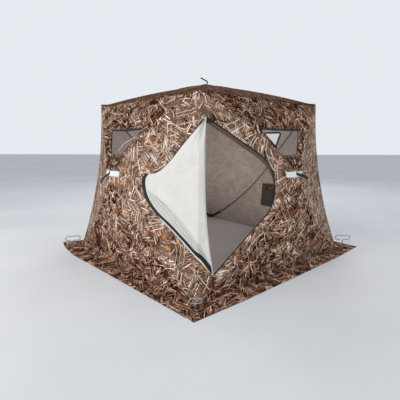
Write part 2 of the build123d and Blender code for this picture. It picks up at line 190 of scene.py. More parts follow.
class Facet:
    """One taut piece of cloth: a curved patch with a flat working plane, x across and y down."""

    def __init__(
        self, net: Array, origin: Array, across: Array, down: Array, seed: int = 0, slack: float = 1.0
    ) -> None:
        """Keeps the patch and finds which way it faces.

        Args:
            net: 3 x 3 control points in metres.
            origin: origin of the working plane.
            across: x direction of the plane.
            down: y direction of the plane.
            seed: which set of wrinkles.
            slack: how deep the wrinkles are.
        """
        self.net, self.origin, self.x, self.y = net, origin, across, down
        self.seed, self.slack = seed, slack
        mid = self.point(np.array(0.5), np.array(0.5))
        n = np.cross(*self.tangents(np.array(0.5), np.array(0.5)))
        self.sign = 1.0 if n @ (mid - CENTRE) > 0 else -1.0

    def point(self, u: Array, v: Array) -> Array:
        """Points of the plain patch."""
        return np.einsum("...i,...j,ijk->...k", bernstein(u), bernstein(v), self.net)

    def tangents(self, u: Array, v: Array) -> tuple[Array, Array]:
        """The patch's two tangents."""
        return (
            np.einsum("...i,...j,ijk->...k", slopes(u), bernstein(v), self.net),
            np.einsum("...i,...j,ijk->...k", bernstein(u), slopes(v), self.net),
        )

    def normal(self, u: Array, v: Array) -> Array:
        """Outward normals of the patch."""
        return unit(np.cross(*self.tangents(u, v))) * self.sign

    def flat(self, p: Array) -> tuple[Array, Array]:
        """Working-plane coordinates of points."""
        return (p - self.origin) @ self.x, (p - self.origin) @ self.y

    def relief(self, u: Array, v: Array) -> Array:
        """How far the wrinkles stand off the plain patch, nothing along the seams.

        Args:
            u: share of the way from the first row of the net to the last.
            v: share of the way from its first column to the last.

        Returns:
            Heights in metres: broad waves, small ones, and folds that fan out from the first row.
        """
        x, y = self.flat(self.point(u, v))
        broad, small, fanned = 0.0045, 0.0011, 0.004
        inside = np.clip(u * (1 - u) * v * (1 - v) * 16, 0, 1) ** 0.6
        soft = ripple(x, y, 0.42, self.seed) * broad + ripple(x, y, 0.13, self.seed + 50) * small
        fan = np.sin(v * 23 + 2.5 * ripple(u, v, 0.8, self.seed + 9)) * np.exp(-3.2 * u) * fanned
        return inside * (soft + fan) * self.slack

    def surface(self, u: Array, v: Array, height: Array | float = 0.0) -> Array:
        """Points of the wrinkled cloth, raised by a height."""
        h = self.relief(u, v) + height
        return ears(self.point(u, v) + self.normal(u, v) * h[..., None])

    def solve(self, x: Array, y: Array) -> tuple[Array, Array]:
        """Patch parameters of points given in the working plane, by Newton's method.

        Args:
            x: distance across the plane.
            y: distance down it.

        Returns:
            u and v, a little past 0 or 1 where a point lies off the patch.
        """
        u, v = np.full(np.shape(x), 0.5), np.full(np.shape(x), 0.5)
        rounds = 14
        for _ in range(rounds):
            px, py = self.flat(self.point(u, v))
            du, dv = self.tangents(u, v)
            a, b, c, d = du @ self.x, dv @ self.x, du @ self.y, dv @ self.y
            det = a * d - b * c
            rx, ry = x - px, y - py
            u = np.clip(u + (d * rx - b * ry) / det, -0.4, 1.4)
            v = np.clip(v + (a * ry - c * rx) / det, -0.4, 1.4)
        return u, v

    def lift(self, xy: Array, height: Array | float = 0.0) -> Array:
        """Points over the cloth from working-plane coordinates."""
        u, v = self.solve(xy[..., 0], xy[..., 1])
        return self.surface(u, v, np.zeros(np.shape(u)) + height)


@dataclass(frozen=True)
class HutShape:
    """Driving sizes of the hut in metres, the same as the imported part's."""

    base_side: float = 2.4
    roof_side: float = ROOF_SIDE
    corner_z: float = CORNER_Z
    apex_z: float = 2.052
    hub_reach: float = 1.358
    hub_z: float = 1.037
    corner_sag: float = 0.08
    upper_bow: tuple[float, float] = (0.022, 0.052)
    lower_bow: tuple[float, float] = (0.004, 0.086)
    roof_bow: float = 0.03
    window_sag: float = 0.035
    hub_t: float = 0.048
    hub_tl: float = 0.038
    rod_in_low: float = 0.0138
    cloth: float = 0.0042
    skirt: float = 0.2

    def top(self, corner: str) -> Array:
        """A roof corner."""
        return CORNERS[corner] * self.roof_side / math.sqrt(2) + UP * self.corner_z

    def foot(self, corner: str) -> Array:
        """A base corner."""
        return CORNERS[corner] * self.base_side / math.sqrt(2)

    def out(self, wall: str) -> Array:
        """The way a wall faces."""
        a, b = WALLS[wall]
        return unit(CORNERS[a] + CORNERS[b])

    def hub(self, wall: str) -> Array:
        """A wall hub."""
        return self.out(wall) * self.hub_reach + UP * self.hub_z

    def rod(self, wall: str, corner: str, upper: bool) -> Array:
        """Control points of a wall rod's seam.

        Args:
            wall: the wall.
            corner: the corner it runs to.
            upper: whether it runs up to the roof corner, not down to the base corner.

        Returns:
            Three points, from the hub to the corner.
        """
        start = self.hub(wall)
        end = self.top(corner) if upper else self.foot(corner)
        bow_out, bow_in = self.upper_bow if upper else self.lower_bow
        chord, out = unit(end - start), self.out(wall)
        d = unit(out - chord * (out @ chord))
        e = np.cross(chord, d)
        e = e * (1 if (e[2] > 0) == upper else -1)
        return np.array([start, (start + end) / 2 + 2 * bow_out * d + 2 * bow_in * e, end])

    def roof_rod(self, corner: str) -> Array:
        """Control points of a roof rod's seam, from the apex."""
        apex, end = UP * self.apex_z, self.top(corner)
        return np.array([apex, (apex + end) / 2 + 2 * self.roof_bow * UP, end])

    def corner_line(self, corner: str) -> Array:
        """Control points of an upright corner seam."""
        a, b = self.top(corner), self.foot(corner)
        return np.array([a, (a + b) / 2 - 2 * self.corner_sag * CORNERS[corner], b])

    @staticmethod
    def tail(c: Array, t: float) -> Array:
        """The rest of a three-point curve from a parameter on."""
        return np.array([bernstein(np.array(t)) @ c, (1 - t) * c[1] + t * c[2], c[2]])

    @staticmethod
    def net(a: Array, b: Array, far: Array | None = None, push: Array | None = None) -> Array:
        """A 3 x 3 net between two side curves.

        Args:
            a: three points of one side curve.
            b: three points of the other.
            far: middle of the last row, halfway between the curves by default.
            push: how far the middle point is moved.

        Returns:
            The net, its rows running from curve a to curve b.
        """
        near = (a[0] + b[0]) / 2
        far = (a[2] + b[2]) / 2 if far is None else far
        mid = (a[1] + b[1]) / 2 + (near + far) / 2 - (a[0] + a[2] + b[0] + b[2]) / 4
        mid = mid if push is None else mid + push
        return np.array([[a[0], near, b[0]], [a[1], mid, b[1]], [a[2], far, b[2]]])

    @staticmethod
    def pad_net(low: list[Array], high: list[Array]) -> Array:
        """The net of a flat pad between its two lower and two upper corners."""
        ends = [[(1 - t) * a + t * b for t in (0, 0.5, 1)] for a, b in (low, high)]
        return np.array([[(1 - s) * a + s * b for a, b in zip(*ends)] for s in (0, 0.5, 1)])

    def facets(self) -> dict[tuple[str, str], Facet]:
        """Makes the cloth's facets.

        Returns:
            Every facet by wall and name: upper, lower, side_a, side_b, hub and roof.
        """
        made: dict[tuple[str, str], Facet] = {}
        for i, (w, (a, b)) in enumerate(WALLS.items()):
            hub, apex = self.hub(w), UP * self.apex_z
            ta, tb = (self.tail(self.rod(w, k, True), self.hub_t) for k in (a, b))
            fa, fb = (self.tail(self.rod(w, k, False), self.hub_tl) for k in (a, b))
            ra, rb = (self.tail(self.roof_rod(k), self.hub_t) for k in (a, b))
            across = unit(self.top(b) - self.top(a))
            edge = (self.top(a) + self.top(b)) / 2
            base = (self.foot(a) + self.foot(b)) / 2
            window = self.net(ta, tb, push=self.out(w) * (-4 * self.window_sag))
            made[w, "upper"] = Facet(window, edge, across, unit(hub - edge), 11 + i, 0.8)
            made[w, "lower"] = Facet(self.net(fa, fb), hub, across, unit(base - hub), 21 + i, 1.7)
            for name, k, t, f in (("side_a", a, ta, fa), ("side_b", b, tb, fb)):
                o, down = self.top(k), unit(self.foot(k) - self.top(k))
                x = hub - o
                x = unit(x - down * (x @ down))
                side = self.net(t, f, self.corner_line(k)[1])
                made[w, name] = Facet(side, o, x, down, 31 + 7 * i + ord(name[-1]), 1.2)
            pad = self.pad_net([fa[0], fb[0]], [ta[0], tb[0]])
            made[w, "hub"] = Facet(pad, hub, across, -UP, 3, 0.0)
            made[w, "roof"] = Facet(self.net(ra, rb), apex, across, unit(edge - apex), 71 + i, 1.0)
        return made


# ---------------------------------------------------------------- meshes


class SheetMesh:
    """Collects grids of points into one mesh that carries its print coordinates in metres."""

    def __init__(self, name: str) -> None:
        """Starts an empty piece.

        Args:
            name: the piece's name.
        """
        self.name = name
        self.verts: list[Array] = []
        self.faces: list[Array] = []
        self.uvs: list[Array] = []
        self.slots: list[Array] = []
        self.creases: list[Array] = []
        self.count = 0

    def add(
        self,
        points: Array,
        uv: Array | None = None,
        slot: int = 0,
        wrap: bool = False,
        toward: Array | None = None,
        crease: Array | None = None,
    ) -> "SheetMesh":
        """Adds one grid.

        Args:
            points: rows x columns x 3.
            uv: rows x columns x 2, or none for the points' own x and z.
            slot: material slot.
            wrap: whether the last column joins the first.
            toward: the side the grid faces, away from the hut's middle by default.
            crease: how sharply the cloth is creased at each point, 0 to 1, by which the lining paints shade
                into the creases.

        Returns:
            The collector itself.
        """
        n, m = points.shape[:2]
        uv = points[..., [0, 2]] if uv is None else uv
        ids = np.arange(n * m).reshape(n, m)
        nxt = np.roll(ids, -1, 1) if wrap else ids[:, 1:]
        own = ids if wrap else ids[:, :-1]
        quads = np.stack([own[:-1], nxt[:-1], nxt[1:], own[1:]], -1).reshape(-1, 4)
        flat = points.reshape(-1, 3)
        a, b, c = flat[quads[:, 0]], flat[quads[:, 1]], flat[quads[:, 2]]
        normal = np.cross(b - a, c - a)
        way = (a - CENTRE) if toward is None else np.broadcast_to(toward, a.shape)
        if (normal * way).sum() < 0:
            quads = quads[:, ::-1]
        self.verts.append(flat)
        self.faces.append(quads + self.count)
        self.uvs.append(uv.reshape(-1, 2))
        self.slots.append(np.full(len(quads), slot))
        self.creases.append(np.zeros(n * m) if crease is None else np.clip(crease, 0, 1).ravel())
        self.count += len(flat)
        return self

    def build(self) -> bpy.types.Object:
        """Makes the object, smooth shaded and joined where its points meet.

        Returns:
            The new object, in the scene.
        """
        verts, faces = np.concatenate(self.verts), np.concatenate(self.faces)
        uvs, creases = np.concatenate(self.uvs), np.concatenate(self.creases)
        me = bpy.data.meshes.new(self.name)
        me.from_pydata(verts.tolist(), [], faces.tolist())
        layer = me.uv_layers.new(name=UV_PRINT)
        layer.uv.foreach_set("vector", uvs[faces.ravel()].astype(np.float32).ravel())
        me.polygons.foreach_set("material_index", np.concatenate(self.slots).astype(np.int32))
        me.polygons.foreach_set("use_smooth", np.ones(len(faces), bool))
        # The crease layer is the mask for shade painted into the lining's creases.
        me.attributes.new(CREASE_SHADE, "FLOAT", "POINT").data.foreach_set("value", creases)
        bm = bmesh.new()
        bm.from_mesh(me)
        bmesh.ops.remove_doubles(bm, verts=bm.verts, dist=2e-5)
        bm.to_mesh(me)
        bm.free()
        me.update()
        ob = bpy.data.objects.new(self.name, me)
        bpy.context.scene.collection.objects.link(ob)
        return ob


def grid(n: int, m: int) -> tuple[Array, Array]:
    """Even patch parameters, n + 1 rows by m + 1 columns."""
    return np.meshgrid(np.linspace(0, 1, n + 1), np.linspace(0, 1, m + 1), indexing="ij")


def ring_grid(facet: Facet, outline: Array, sides: int, steps: int) -> tuple[Array, Array]:
    """Patch parameters that fill a facet round a hole.

    Args:
        facet: the facet.
        outline: the hole in the working plane.
        sides: segments along each side of the facet.
        steps: rows from the hole to the facet's edge.

    Returns:
        u and v, rows from the hole outward, columns round it.
    """
    t = np.arange(sides) / sides
    one, zero = np.ones(sides), np.zeros(sides)
    edges = ((t, zero), (one, t), (1 - t, one), (zero, 1 - t))
    outer = np.concatenate([np.stack(e, -1) for e in edges])
    hole = np.stack(facet.solve(outline[:, 0], outline[:, 1]), -1)
    nxt = np.roll(hole, -1, 0)
    area = hole[:, 0] * nxt[:, 1] - nxt[:, 0] * hole[:, 1]
    mid = ((hole + nxt) * area[:, None]).sum(0) / (3 * area.sum())
    d = outer - mid
    e, s = nxt - hole, hole - mid
    den = d[:, None, 0] * e[None, :, 1] - d[:, None, 1] * e[None, :, 0]
    den = np.where(np.abs(den) < 1e-12, 1e-12, den)
    along = (s[None, :, 0] * e[None, :, 1] - s[None, :, 1] * e[None, :, 0]) / den
    across = (s[None, :, 0] * d[:, None, 1] - s[None, :, 1] * d[:, None, 0]) / den
    ok = (across >= -1e-6) & (across <= 1 + 1e-6) & (along > 0)
    reach = np.where(ok, along, 0).max(1)
    inner = mid + d * reach[:, None]
    turn = np.arccos(np.clip((unit(e) * unit(np.roll(e, 1, 0))).sum(1), -1, 1))
    sharp, crowding = 0.35, 0.85
    for k in np.nonzero(turn > sharp)[0]:
        inner[((inner - hole[k]) ** 2).sum(1).argmin()] = hole[k]
    r = np.linspace(0, 1, steps + 1)[:, None, None] ** crowding
    uv = inner + (outer - inner) * r
    return uv[..., 0], uv[..., 1]


def run_length(path: Array) -> Array:
    """Distance along a path at each of its points."""
    return np.concatenate([[0], np.cumsum(np.linalg.norm(np.diff(path, axis=0), axis=1))])


def offset_path(path: Array, by: Array | float, closed: bool) -> Array:
    """A flat path moved sideways.

    Args:
        path: points in a plane.
        by: how far, to the path's left where positive.
        closed: whether the path closes.

    Returns:
        The moved path.
    """
    if closed:
        t = np.roll(path, -1, 0) - np.roll(path, 1, 0)
    else:
        t = np.gradient(path, axis=0)
    n = unit(np.stack([-t[:, 1], t[:, 0]], -1))
    return path + n * (np.zeros(len(path)) + by)[:, None]


def strip_on(
    facet: Facet, path: Array, profile: Profile, closed: bool = False, scale: Array | float = 1.0
) -> Array:
    """A strip laid along a flat path on a facet.

    Args:
        facet: the facet it lies on.
        path: points in the working plane.
        profile: (sideways, height) pairs across the strip.
        closed: whether the path closes.
        scale: width factor at each path point.

    Returns:
        Grid of points, path by profile.
    """
    rows = [facet.lift(offset_path(path, s * scale, closed), h) for s, h in profile]
    return np.stack(rows, 1)


def flat_tube(path: Array, way: Array, beside: Array, off: Array) -> Array:
    """A tube round a path, flattened against the cloth.

    Args:
        path: points along the middle of the tube.
        way: the path's direction at each point.
        beside: how far the tube's points lie to the side of the path, path by ring.
        off: how far they stand off it.

    Returns:
        Grid of points, path by ring.
    """
    out = path - CENTRE
    out = unit(out - way * (out * way).sum(1)[:, None])
    side = np.cross(way, out)
    return path[:, None] + side[:, None] * beside[..., None] + out[:, None] * off[..., None]


def print_coords(points: Array, facet: Facet, turn: float, shift: float) -> Array:
    """Where the print falls on a facet.

    Args:
        points: points of the cloth.
        facet: the facet.
        turn: how far the print is turned, in radians.
        shift: how far it is moved, in metres.

    Returns:
        Print coordinates in metres.
    """
    x, y = facet.flat(points)
    c, s = math.cos(turn), math.sin(turn)
    return np.stack([c * x - s * y + shift, s * x + c * y + 0.37 * shift], -1)


def thicken(ob: bpy.types.Object, thickness: float, inner_slot: int = 0, offset: float = -1.0) -> None:
    """Gives a sheet its thickness.

    Args:
        ob: the sheet.
        thickness: in metres.
        inner_slot: how many slots further the inner face's material is.
        offset: -1 grows inward, 1 outward.
    """
    mod = ob.modifiers.new("thickness", "SOLIDIFY")
    mod.thickness, mod.offset = thickness, offset
    mod.use_even_offset = False
    mod.material_offset = inner_slot
    mod.use_quality_normals = True


def place(
    mesh: SheetMesh, slot: str, materials: list[bpy.types.Material], *nodes: str, **thickness: float
) -> bpy.types.Object:
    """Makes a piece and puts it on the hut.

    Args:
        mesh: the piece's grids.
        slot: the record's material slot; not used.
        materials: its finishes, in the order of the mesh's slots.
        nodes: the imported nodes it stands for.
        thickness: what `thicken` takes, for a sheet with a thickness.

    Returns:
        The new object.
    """
    ob = mesh.build()
    if thickness:
        thicken(ob, **thickness)
    for m in materials:
        ob.data.materials.append(m)
    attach(ob, ROOT)
    if nodes:
        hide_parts(*nodes)
    log.info("%s: %d faces", ob.name, len(ob.data.polygons))
    return ob


# ---------------------------------------------------------------- finishes


@dataclass(frozen=True)
class Reeds:
    """One layer of printed sticks, each patch of cloth with its own lay.

    Attributes:
        turn: middle direction, in radians.
        spread: how far patches turn from it, 1 for any way.
        patch: size of a patch, in metres.
        width: width of a stick's cell; the stick fills from a third to three fifths of it.
        length: length of a stick's cell.
        share: share of cells that hold a stick.
        cover: share of patches that hold any.
        colours: colour stops picked at random by cell.
        rim: how dark a stick's edges are.
    """

    turn: float
    spread: float
    patch: float
    width: float
    length: float
    share: float
    cover: float
    colours: tuple[tuple[float, Colour], ...]
    rim: float = 0.85


CREAM = (0.74, 0.66, 0.58)
PALE = (0.58, 0.48, 0.40)
STRAW = (0.46, 0.35, 0.27)
SAND = (0.36, 0.25, 0.185)
TAN = (0.27, 0.175, 0.125)
UMBER = (0.20, 0.105, 0.068)
BROWN = (0.13, 0.062, 0.038)
BARK = (0.070, 0.032, 0.020)
SOIL = (0.020, 0.009, 0.006)
RUST = (0.33, 0.135, 0.065)
OCHRE = (0.52, 0.32, 0.17)

GROUND = ((0.36, SOIL), (0.44, BARK), (0.50, UMBER), (0.56, TAN), (0.64, SAND))
CLEARING = ((0.34, UMBER), (0.44, SAND), (0.54, STRAW), (0.66, PALE))
DARK_STEMS = ((0.0, BARK), (0.25, SOIL), (0.5, BROWN), (0.8, UMBER))
BROWN_STEMS = ((0.0, UMBER), (0.3, BARK), (0.6, TAN), (0.85, RUST))
TAN_REEDS = ((0.0, TAN), (0.35, SAND), (0.6, BROWN), (0.85, STRAW))
STRAW_REEDS = ((0.0, STRAW), (0.35, TAN), (0.65, PALE), (0.9, RUST))
PALE_REEDS = ((0.0, PALE), (0.4, CREAM), (0.6, SAND))
CREAM_REEDS = ((0.0, CREAM), (0.35, SAND), (0.65, PALE))
LONG_REEDS = ((0.0, CREAM), (0.4, PALE), (0.75, BARK))
LONG_PALE = ((0.0, CREAM), (0.5, PALE))
DEAD_LEAVES = ((0.0, OCHRE), (0.35, RUST), (0.6, STRAW), (0.8, UMBER))


class Tree:
    """A small builder of shader nodes."""

    def __init__(self, name: str) -> None:
        """Starts an empty material.

        Args:
            name: the material's name.
        """
        self.material = bpy.data.materials.new(name)
        self.material.use_nodes = True
        self.nodes, self.links = self.material.node_tree.nodes, self.material.node_tree.links
        self.nodes.clear()
        self.out = self.nodes.new("ShaderNodeOutputMaterial")

    def feed(self, socket: Socket, value: object) -> None:
        """Links a socket, or sets its value."""
        if isinstance(value, bpy.types.NodeSocket):
            self.links.new(value, socket)
        elif isinstance(value, tuple) and len(value) == 3 and socket.type == "RGBA":
            socket.default_value = (*value, 1.0)
        elif value is not None:
            socket.default_value = value

    def node(self, kind: str, inputs: dict | None = None, **settings: object) -> bpy.types.Node:
        """Adds a node.

        Args:
            kind: the node's type, without its prefix.
            inputs: what each input is linked to or set to.
            settings: the node's own settings.

        Returns:
            The node.
        """
        n = self.nodes.new("ShaderNode" + kind)
        for k, v in settings.items():
            setattr(n, k, v)
        for k, v in (inputs or {}).items():
            self.feed(n.inputs[k], v)
        return n

    def math(self, op: str, a: object, b: object = None, c: object = None) -> Socket:
        """A Math node.

        Args:
            op: the operation.
            a: first input.
            b: second input, if it has one.
            c: third input, if it has one.

        Returns:
            The result.
        """
        n = self.node("Math", operation=op)
        for s, v in zip(n.inputs, (a, b, c)):
            self.feed(s, v)
        return n.outputs[0]

    def step(self, value: object, low: float, high: float) -> Socket:
        """A soft step of a value between two limits."""
        n = self.node("MapRange", {0: value, 1: low, 2: high}, interpolation_type="SMOOTHSTEP")
        return n.outputs[0]

    def mix(self, factor: object, a: object, b: object, blend: str = "MIX") -> Socket:
        """A colour Mix node.

        Args:
            factor: how much of the second colour shows.
            a: first colour.
            b: second colour.
            blend: how they are mixed.

        Returns:
            The mixed colour.
        """
        n = self.node("Mix", data_type="RGBA", blend_type=blend)
        for i, v in ((0, factor), (6, a), (7, b)):
            self.feed(n.inputs[i], v)
        return n.outputs[2]

    def ramp(self, value: object, stops: tuple[tuple[float, Colour], ...], hard: bool = False) -> Socket:
        """A colour ramp.

        Args:
            value: where on the ramp, 0 to 1.
            stops: each colour and its place.
            hard: whether the colours change at once instead of blending.

        Returns:
            The colour.
        """
        n = self.node("ValToRGB", {0: value})
        r = n.color_ramp
        r.interpolation = "CONSTANT" if hard else "LINEAR"
        while len(r.elements) < len(stops):
            r.elements.new(0.5)
        for e, (at, colour) in zip(r.elements, stops):
            e.position, e.color = at, (*colour, 1.0)
        return n.outputs[0]

    def vector(self, op: str, a: object, b: object) -> Socket:
        """A Vector Math node."""
        return self.node("VectorMath", {0: a, 1: b}, operation=op).outputs[0]

    def grey(self, value: object) -> Socket:
        """A grey of a value."""
        return self.node("CombineColor", {0: value, 1: value, 2: value}).outputs[0]

    def scaled(self, vector: object, by: tuple[float, float, float], plus: object) -> Socket:
        """A vector scaled and moved."""
        return self.node("VectorMath", {0: vector, 1: by, 2: plus}, operation="MULTIPLY_ADD").outputs[0]

    def cells(self, vector: object) -> bpy.types.Node:
        """A flat Voronoi texture of cells about 1 across."""
        inputs = {"Vector": vector, "Scale": 1.0, "Randomness": 1.0}
        return self.node("TexVoronoi", inputs, voronoi_dimensions="2D")

    def turned(self, vector: object, angle: object) -> Socket:
        """A vector turned about the upright axis."""
        inputs = {"Vector": vector, "Angle": angle}
        return self.node("VectorRotate", inputs, rotation_type="Z_AXIS").outputs[0]

    def noise(self, vector: object, scale: float, detail: float = 2.0, rough: float = 0.5) -> Socket:
        """A Noise texture's value."""
        inputs = {"Vector": vector, "Scale": scale, "Detail": detail, "Roughness": rough}
        return self.node("TexNoise", inputs).outputs[0]

    def warp(self, vector: object, scale: float, detail: float, by: float) -> Socket:
        """A vector shifted by a Noise texture's colour."""
        noise = self.node("TexNoise", {"Vector": vector, "Scale": scale, "Detail": detail}).outputs[1]
        return self.scaled(noise, (by, by, 0.0), vector)

    def uv(self) -> Socket:
        """Print coordinates in metres."""
        return self.node("UVMap", uv_map=UV_PRINT).outputs[0]

    def place(self) -> Socket:
        """Object coordinates in metres."""
        return self.node("TexCoord").outputs["Object"]

    def sticks(self, at: Socket, loose: object, under: object, reeds: Reeds, number: int) -> Socket:
        """Lays one layer of sticks over what is under it.

        Args:
            at: print coordinates.
            loose: the same coordinates warped, for uneven patches.
            under: colour below.
            reeds: the layer.
            number: its number, which shifts it.

        Returns:
            The colour with the layer on.
        """
        patch = (1 / reeds.patch, 1 / reeds.patch, 1.0)
        bunch = self.cells(self.scaled(loose, patch, (5.3 * number, 2.9 * number, 0.0)))
        pick = self.node("SeparateColor", {0: bunch.outputs["Color"]})
        middle = self.math("SUBTRACT", pick.outputs[0], 0.5)
        angle = self.math("MULTIPLY_ADD", middle, reeds.spread * math.pi, reeds.turn)
        apart = self.scaled(bunch.outputs["Color"], (37.0, 23.0, 0.0), (3.7 * number, 1.9 * number, 0.0))
        size = self.scaled(self.turned(at, angle), (1 / reeds.width, 1 / reeds.length, 1.0), apart)
        cell = self.cells(size)
        hue = self.node("SeparateColor", {0: cell.outputs["Color"]})
        side = self.node("SeparateXYZ", {0: self.vector("SUBTRACT", size, cell.outputs["Position"])})
        thin = self.math("ABSOLUTE", side.outputs[0])
        ends = self.math("SUBTRACT", 1.0, self.step(self.math("ABSOLUTE", side.outputs[1]), 0.36, 0.56))
        filled = self.math("LESS_THAN", hue.outputs[0], reeds.share)
        covered = self.math("LESS_THAN", pick.outputs[1], reeds.cover)
        chosen = self.math("MULTIPLY", self.math("MULTIPLY", filled, covered), ends)
        half = self.math("MULTIPLY_ADD", hue.outputs[2], 0.16, 0.15)
        body = self.math("MULTIPLY", self.math("LESS_THAN", thin, half), chosen)
        edge = self.math("MULTIPLY", self.math("LESS_THAN", thin, self.math("ADD", half, 0.19)), chosen)
        colour = self.ramp(hue.outputs[1], reeds.colours, hard=True)
        shade = self.math("MULTIPLY", self.step(side.outputs[0], 0.02, 0.26), 0.6 * reeds.rim)
        dark = self.mix(self.math("MULTIPLY", edge, reeds.rim), under, SOIL)
        return self.mix(body, dark, self.mix(shade, colour, BARK))

    def shade(
        self, bump: object = None, bump_size: float = 0.001, strength: float = 0.5, **inputs: object
    ) -> bpy.types.Material:
        """Ends the tree in a Principled shader.

        Args:
            bump: height socket.
            bump_size: what a height of 1 stands for, in metres.
            strength: strength of the bump.
            inputs: Principled inputs, underscores for blanks.

        Returns:
            The material.
        """
        p = self.node("BsdfPrincipled", {k.replace("_", " "): v for k, v in inputs.items()})
        if bump is not None:
            n = self.node("Bump", {"Height": bump, "Distance": bump_size, "Strength": strength})
            self.links.new(n.outputs[0], p.inputs["Normal"])
        self.links.new(p.outputs[0], self.out.inputs[0])
        return self.material


@dataclass(frozen=True)
class ReedCloth:
    """Woven cloth printed with crossing sticks, reeds and dead leaves.

    Attributes:
        name: the material's name.
        tint: what the finished print is multiplied by; the hut's copies use it to paint each region's light
            and shade.
        scale: how much smaller the print is drawn.
        clearing: how much of the cloth shows light ground between the lowest sticks.
        sway: how far the sticks bend, in metres.
        contrast: gamma of the print.
        pool: how much darker or lighter than the rest a pool of the print is.
        saturation: saturation of the print.
        layers: the layers of sticks, from the lowest up.
    """

    name: str
    tint: Colour = (1.0, 1.0, 1.0)
    scale: float = 1.0
    clearing: float = 0.35
    sway: float = 0.032
    contrast: float = 1.4
    pool: float = 0.14
    saturation: float = 1.15
    layers: tuple[Reeds, ...] = (
        Reeds(0.20, 0.8, 0.16, 0.015, 0.14, 0.95, 1.0, DARK_STEMS),
        Reeds(-0.60, 1.0, 0.13, 0.014, 0.13, 0.85, 0.9, BROWN_STEMS),
        Reeds(1.00, 1.0, 0.15, 0.013, 0.15, 0.75, 0.8, TAN_REEDS),
        Reeds(-1.10, 1.0, 0.12, 0.012, 0.17, 0.58, 0.75, STRAW_REEDS),
        Reeds(0.30, 1.0, 0.15, 0.012, 0.20, 0.46, 0.75, PALE_REEDS),
        Reeds(-0.40, 1.0, 0.10, 0.012, 0.22, 0.34, 0.65, CREAM_REEDS),
        Reeds(1.50, 1.0, 0.16, 0.013, 0.28, 0.20, 0.70, LONG_REEDS),
        Reeds(-0.20, 1.0, 0.20, 0.013, 0.36, 0.12, 0.65, LONG_PALE),
    )

    @staticmethod
    def leaves(t: Tree, at: Socket, under: object, size: float, share: float, number: int) -> Socket:
        """Scatters lobed dead leaves, each turned its own way.

        Args:
            t: the tree.
            at: print coordinates.
            under: colour below.
            size: size of a leaf's cell, in metres.
            share: share of cells that hold a leaf.
            number: which shifts them.

        Returns:
            The colour with the leaves on.
        """
        spread = t.scaled(at, (1 / size, 1 / size, 1.0), (2.2 * number, 7.1 * number, 0.0))
        cell = t.cells(spread)
        hue = t.node("SeparateColor", {0: cell.outputs["Color"]})
        side = t.vector("SUBTRACT", spread, cell.outputs["Position"])
        turn = t.math("MULTIPLY", hue.outputs[2], 2 * math.pi)
        own = t.node("SeparateXYZ", {0: t.turned(side, turn)})
        x, y = t.math("ABSOLUTE", own.outputs[0]), own.outputs[1]
        taper = t.math("SUBTRACT", 1.0, t.math("MULTIPLY", t.math("MULTIPLY", y, y), 6.0))
        lobes = t.math("MULTIPLY_ADD", t.math("COSINE", t.math("MULTIPLY", y, 31.0)), 0.30, 0.75)
        half = t.math("MULTIPLY", t.math("MULTIPLY", taper, lobes), 0.24)
        chosen = t.math("LESS_THAN", hue.outputs[0], share)
        inside = t.math("MULTIPLY", t.math("LESS_THAN", x, half), chosen)
        rim = t.math("MULTIPLY", t.math("LESS_THAN", x, t.math("ADD", half, 0.06)), chosen)
        vein = t.math("LESS_THAN", x, 0.018)
        slant = t.math("SUBTRACT", y, t.math("MULTIPLY", x, 0.8))
        ribs = t.step(t.math("SINE", t.math("MULTIPLY", slant, 62.0)), 0.3, 1.0)
        leaf = t.ramp(hue.outputs[1], DEAD_LEAVES, hard=True)
        leaf = t.mix(t.math("MULTIPLY", t.step(own.outputs[0], -0.05, 0.12), 0.35), leaf, BARK)
        leaf = t.mix(t.math("MULTIPLY", t.math("MAXIMUM", vein, ribs), 0.5), leaf, BARK)
        return t.mix(inside, t.mix(t.math("MULTIPLY", rim, 0.85), under, SOIL), leaf)

    def build(self) -> bpy.types.Material:
        """Makes the material.

        Returns:
            The material, ready to put on a piece.
        """
        t = Tree(self.name)
        at = t.scaled(t.uv(), (self.scale, self.scale, 1.0), (0.0, 0.0, 0.0))
        loose = t.warp(at, 9.0, 2.0, 0.10)
        bent = t.warp(at, 8.0, 1.0, self.sway)
        ground = t.ramp(t.noise(at, 13.0, 5.0, 0.75), GROUND)
        clear = t.step(t.noise(at, 2.4, 2.0, 0.6), 0.66 - self.clearing, 0.98 - self.clearing)
        light = t.ramp(t.noise(at, 30.0, 3.0, 0.7), CLEARING)
        colour: object = t.mix(t.math("MULTIPLY", clear, 0.8), ground, light)
        thinned, leaf_layers = 3, (2, 4)
        for i, reeds in enumerate(self.layers):
            laid = t.sticks(bent, loose, colour, reeds, i + 1)
            colour = t.mix(t.math("MULTIPLY", clear, 0.6), laid, colour) if i < thinned else laid
            if i in leaf_layers:
                colour = self.leaves(t, at, colour, 0.19 - 0.02 * i, 0.24, i)
        pooled = t.step(t.noise(loose, 8.0, 3.0, 0.6), 0.36, 0.62)
        pool = t.math("MULTIPLY_ADD", pooled, 2 * self.pool, 1 - self.pool)
        colour = t.mix(1.0, colour, t.grey(pool), "MULTIPLY")
        colour = t.node("Gamma", {"Color": colour, "Gamma": self.contrast}).outputs[0]
        colour = t.node("HueSaturation", {"Color": colour, "Saturation": self.saturation}).outputs[0]
        colour = t.mix(1.0, colour, self.tint, "MULTIPLY")
        weave = t.noise(at, 900.0, 1.0)
        crush = t.noise(at, 16.0, 4.0, 0.6)
        height = t.math("MULTIPLY_ADD", weave, 0.25, crush)
        return t.shade(height, 0.006, 0.45, Base_Color=colour, Roughness=0.95, Specular_IOR_Level=0.04)


